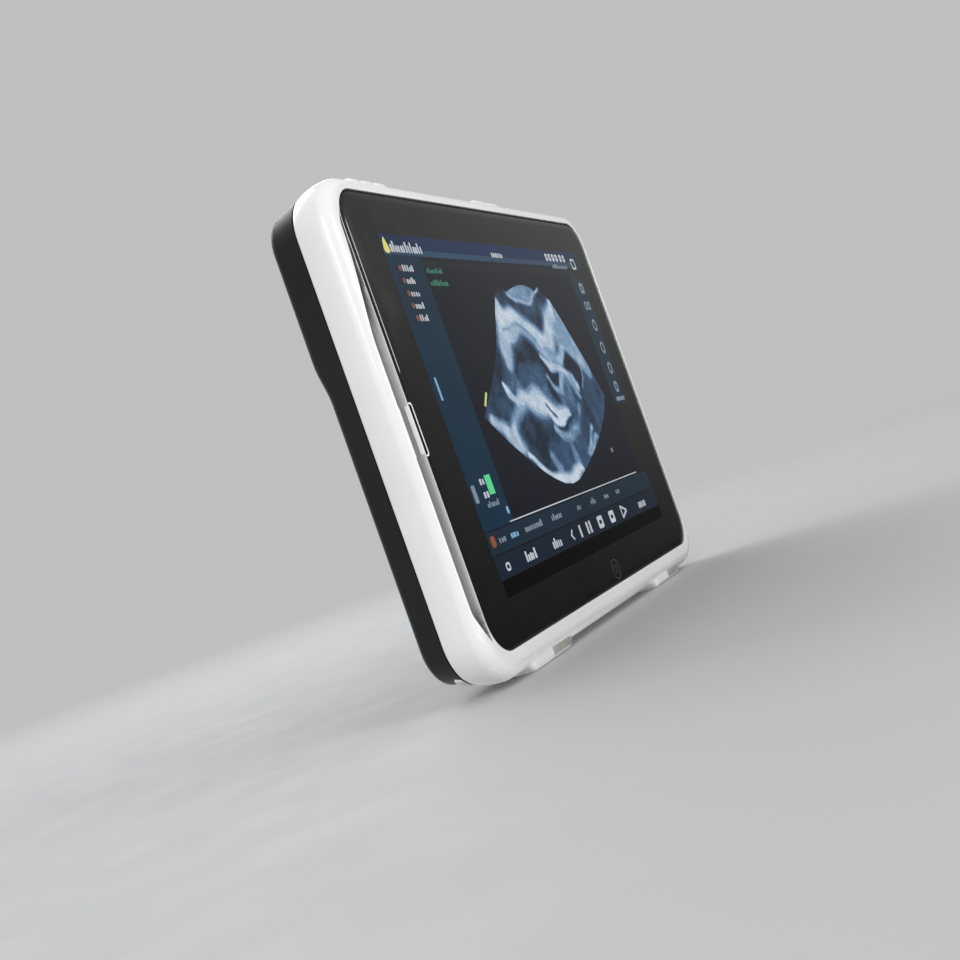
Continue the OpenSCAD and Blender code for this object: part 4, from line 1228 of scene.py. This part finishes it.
def echo_image():
    """The fan of the echo image: a thin plate whose points carry its brightness."""
    columns = spread(SECTOR_TOP[0][0], SECTOR_TOP[-1][0], 190)[1:-1]
    bm = bmesh.new()
    level = bm.verts.layers.float.new("level")
    ends = [bm.verts.new(at(x, -0.03, z)) for x, z in
            (screen_point(*SECTOR_TOP[k]) for k in (0, -1))]
    grid = []
    for across in columns:
        top, bottom = height_along(SECTOR_TOP, across), height_along(SECTOR_BOTTOM, across)
        column = []
        for down in spread(top, bottom, 84):
            x, z = screen_point(across, down)
            vert = bm.verts.new(at(x, -0.03, z))
            stirred = (across + 1.1 * math.sin(down * 0.31 + across * 0.11),
                       down + 0.9 * math.sin(across * 0.27 - down * 0.13))
            brightness = 0.36
            for stroke in STROKES:
                brightness += (stroke[0] - brightness) * stroke_cover(stroke, *stirred)
            vert[level] = brightness
            column.append(vert)
        grid.append(column)
    for end, column in zip(ends, (grid[0], grid[-1])):
        end[level] = column[len(column) // 2][level]
    for a, b in zip(grid, grid[1:]):
        for j in range(len(a) - 1):
            bm.faces.new((a[j], b[j], b[j + 1], a[j + 1]))
    for end, column in zip(ends, (grid[0], grid[-1])):
        for a, b in zip(column, column[1:]):
            bm.faces.new((end, a, b))
    rim = ([ends[0]] + [column[0] for column in grid] + [ends[1]]
           + [column[-1] for column in reversed(grid)])
    close_off(bm, rim, [bm.verts.new(v.co + Vector((0, 0.05 * MM, 0))) for v in rim])
    new_piece("echo_image", bm, "screen_picture", materials=[tissue("echo_tissue")])


# ---------- studio ----------


def add_staged(name, bm, material, unseen):
    """A piece of the studio, which some kinds of ray don't see."""
    added = add_object(name, bm, [material])
    for ray in unseen:
        setattr(added, "visible_" + ray, False)


def floor():
    """A pale disc that fades out into the world's pale grey."""
    bm = bmesh.new()
    rings = [[Vector((x, y, 0)) for x, y in disc(0, 0, r, 64)] for r in (0.4, 0.9, 1.6, 2.4, 3.2)]
    verts = skin(bm, rings, close_rows=False)
    bm.faces.new(verts[0])
    material, tree, shader, place = start_material("floor")
    patch = noise(tree, place, 600, detail=4.0)
    away = add_node(tree, "VectorMath", {0: place}, operation="LENGTH").outputs[1]
    feed(tree, shader, {
        "Base Color": blend_colours(tree, patch, (0.44, 0.45, 0.46), (0.48, 0.49, 0.50)),
        "Roughness": remap(tree, noise(tree, place, 40), 0.3, 0.7, 0.75, 0.9),
        "Alpha": remap(tree, away, 0.25, 1.9, 1, 0)})
    add_staged("floor", bm, material, ("glossy",))


CARD_UNSEEN = ("camera", "diffuse", "transmission", "volume_scatter", "shadow")


def reflector():
    """A dim graded card on the right, seen only as the reflection in the glass."""
    facing = Vector((-0.912, 0.41, 0))
    centre = Vector((1.25, -0.62, 0.25))
    along = Vector((0, 0, 1)).cross(facing)
    bm = bmesh.new()
    grid = [[centre + along * u * 1.6 + Vector((0, 0, v * 0.85)) for v in spread(-1, 1, 9)]
            for u in spread(-1, 1, 9)]
    skin(bm, grid, close_rows=False, close_columns=False)
    material, tree, emission, place = start_material("reflector", "Emission")
    parts = add_node(tree, "SeparateXYZ", {0: place}).outputs
    cloud = calc(tree, "MULTIPLY", calc(tree, "SUBTRACT", noise(tree, place, 500), 0.5), 0.06)
    rise = add_node(tree, "MapRange", {"Value": parts[2], "From Min": -0.15,
                                       "From Max": 0.6}).outputs[0]
    glow = calc(tree, "MULTIPLY_ADD", calc(tree, "POWER", rise, 1.2), 0.27, 0.022)
    glow = calc(tree, "MULTIPLY", glow, remap(tree, parts[1], -0.8, -0.3, 0.92, 1.4))
    glow = calc(tree, "ADD", glow, calc(tree, "MULTIPLY", cloud, rise))
    feed(tree, emission, {"Color": (1.0, 0.99, 0.97, 1), "Strength": glow})
    add_staged("reflector", bm, material, CARD_UNSEEN)


def strip_light():
    """A narrow upright light on the right that only the curved edge of the glass mirrors."""
    angle = math.radians(-31.5)
    centre = Vector((1.5 * math.cos(angle) - 0.15, 1.5 * math.sin(angle), 0.437))
    side = Vector((math.sin(angle), -math.cos(angle), 0)) * 0.07
    rise = Vector((0, 0, 0.125))
    bm = bmesh.new()
    grid = [[centre + side * u + rise * v for v in (-1, 0, 1)] for u in (-1, 0, 1)]
    skin(bm, grid, close_rows=False, close_columns=False)
    material, tree, emission, _ = start_material("strip_light", "Emission")
    feed(tree, emission, {"Strength": 5.0})
    add_staged("strip_light", bm, material, CARD_UNSEEN)


SKY_LIGHT = 1.14  # how bright the surroundings shine on things
SEEN_SKY = 0.84  # how bright the camera sees them
WARM, COOL = (1.0, 0.99, 0.975), (0.97, 0.985, 1.0)


def studio():
    """Even pale surroundings, drawn a little darker than they shine, and soft lamps."""
    scene = bpy.context.scene
    scene.view_settings.view_transform = "Standard"
    scene.view_settings.look = "None"
    world = bpy.data.worlds.new("studio")
    world.use_nodes = True
    tree = world.node_tree
    backdrop = tree.nodes["Background"]
    backdrop.inputs[0].default_value = (0.62, 0.625, 0.63, 1)
    seen = add_node(tree, "LightPath").outputs["Is Camera Ray"]
    tree.links.new(calc(tree, "MULTIPLY_ADD", seen, SEEN_SKY - SKY_LIGHT, SKY_LIGHT),
                   backdrop.inputs[1])
    scene.world = world
    area_light("key_light", (-1.6, -0.35, 0.75), (0, 0, 0.1), 0.9, 7.5, WARM)
    area_light("front_light", (-0.35, -1.85, 0.35), (0, 0, 0.1), 0.9, 14.5, WARM)
    area_light("overhead_light", (0.6, 1.3, 1.4), (0, 0, 0.15), 1.1, 11, (0.96, 0.98, 1.0))
    area_light("side_light", (-1.9, 0.5, 0.5), (0, 0, 0.12), 0.6, 2, COOL)
    area_light("right_light", (1.6, 1.2, 1.0), (0, 0, 0.12), 1.0, 8, (1.0, 1.0, 1.0))
    floor()
    reflector()
    strip_light()


# ---------- assembly ----------

SOFTENED = (("kickstand", 0.5), ("stand_grip", 0.3), ("stand_washers", 0.12),
            ("mount_inserts", 0.25), ("case_screws", 0.15), ("battery_pack", 0.5),
            ("battery_latch", 0.4), ("probe_lock_slider", 0.4), ("port_door", 0.5),
            ("rear_feet", 0.9), ("corner_bumpers", 0.4), ("dc_jack", 0.2),
            ("probe_socket_shell", 0.3), ("probe_socket_insert", 0.2), ("port_bezel", 0.3),
            ("usb_socket", 0.12), ("hdmi_socket", 0.12), ("fan_impeller", 0.2),
            ("fan_housing", 0.3), ("speaker_left", 0.3), ("speaker_right", 0.3))

make_camera()
studio()
paint_cad_nodes()
front_frame()
rear_cover()
glass()
key_ring()
key_caps()
dock_pads()
light_bar()
screen_interface()
echo_image()
for softened_node, softened_edge in SOFTENED:
    soften(softened_node, softened_edge)
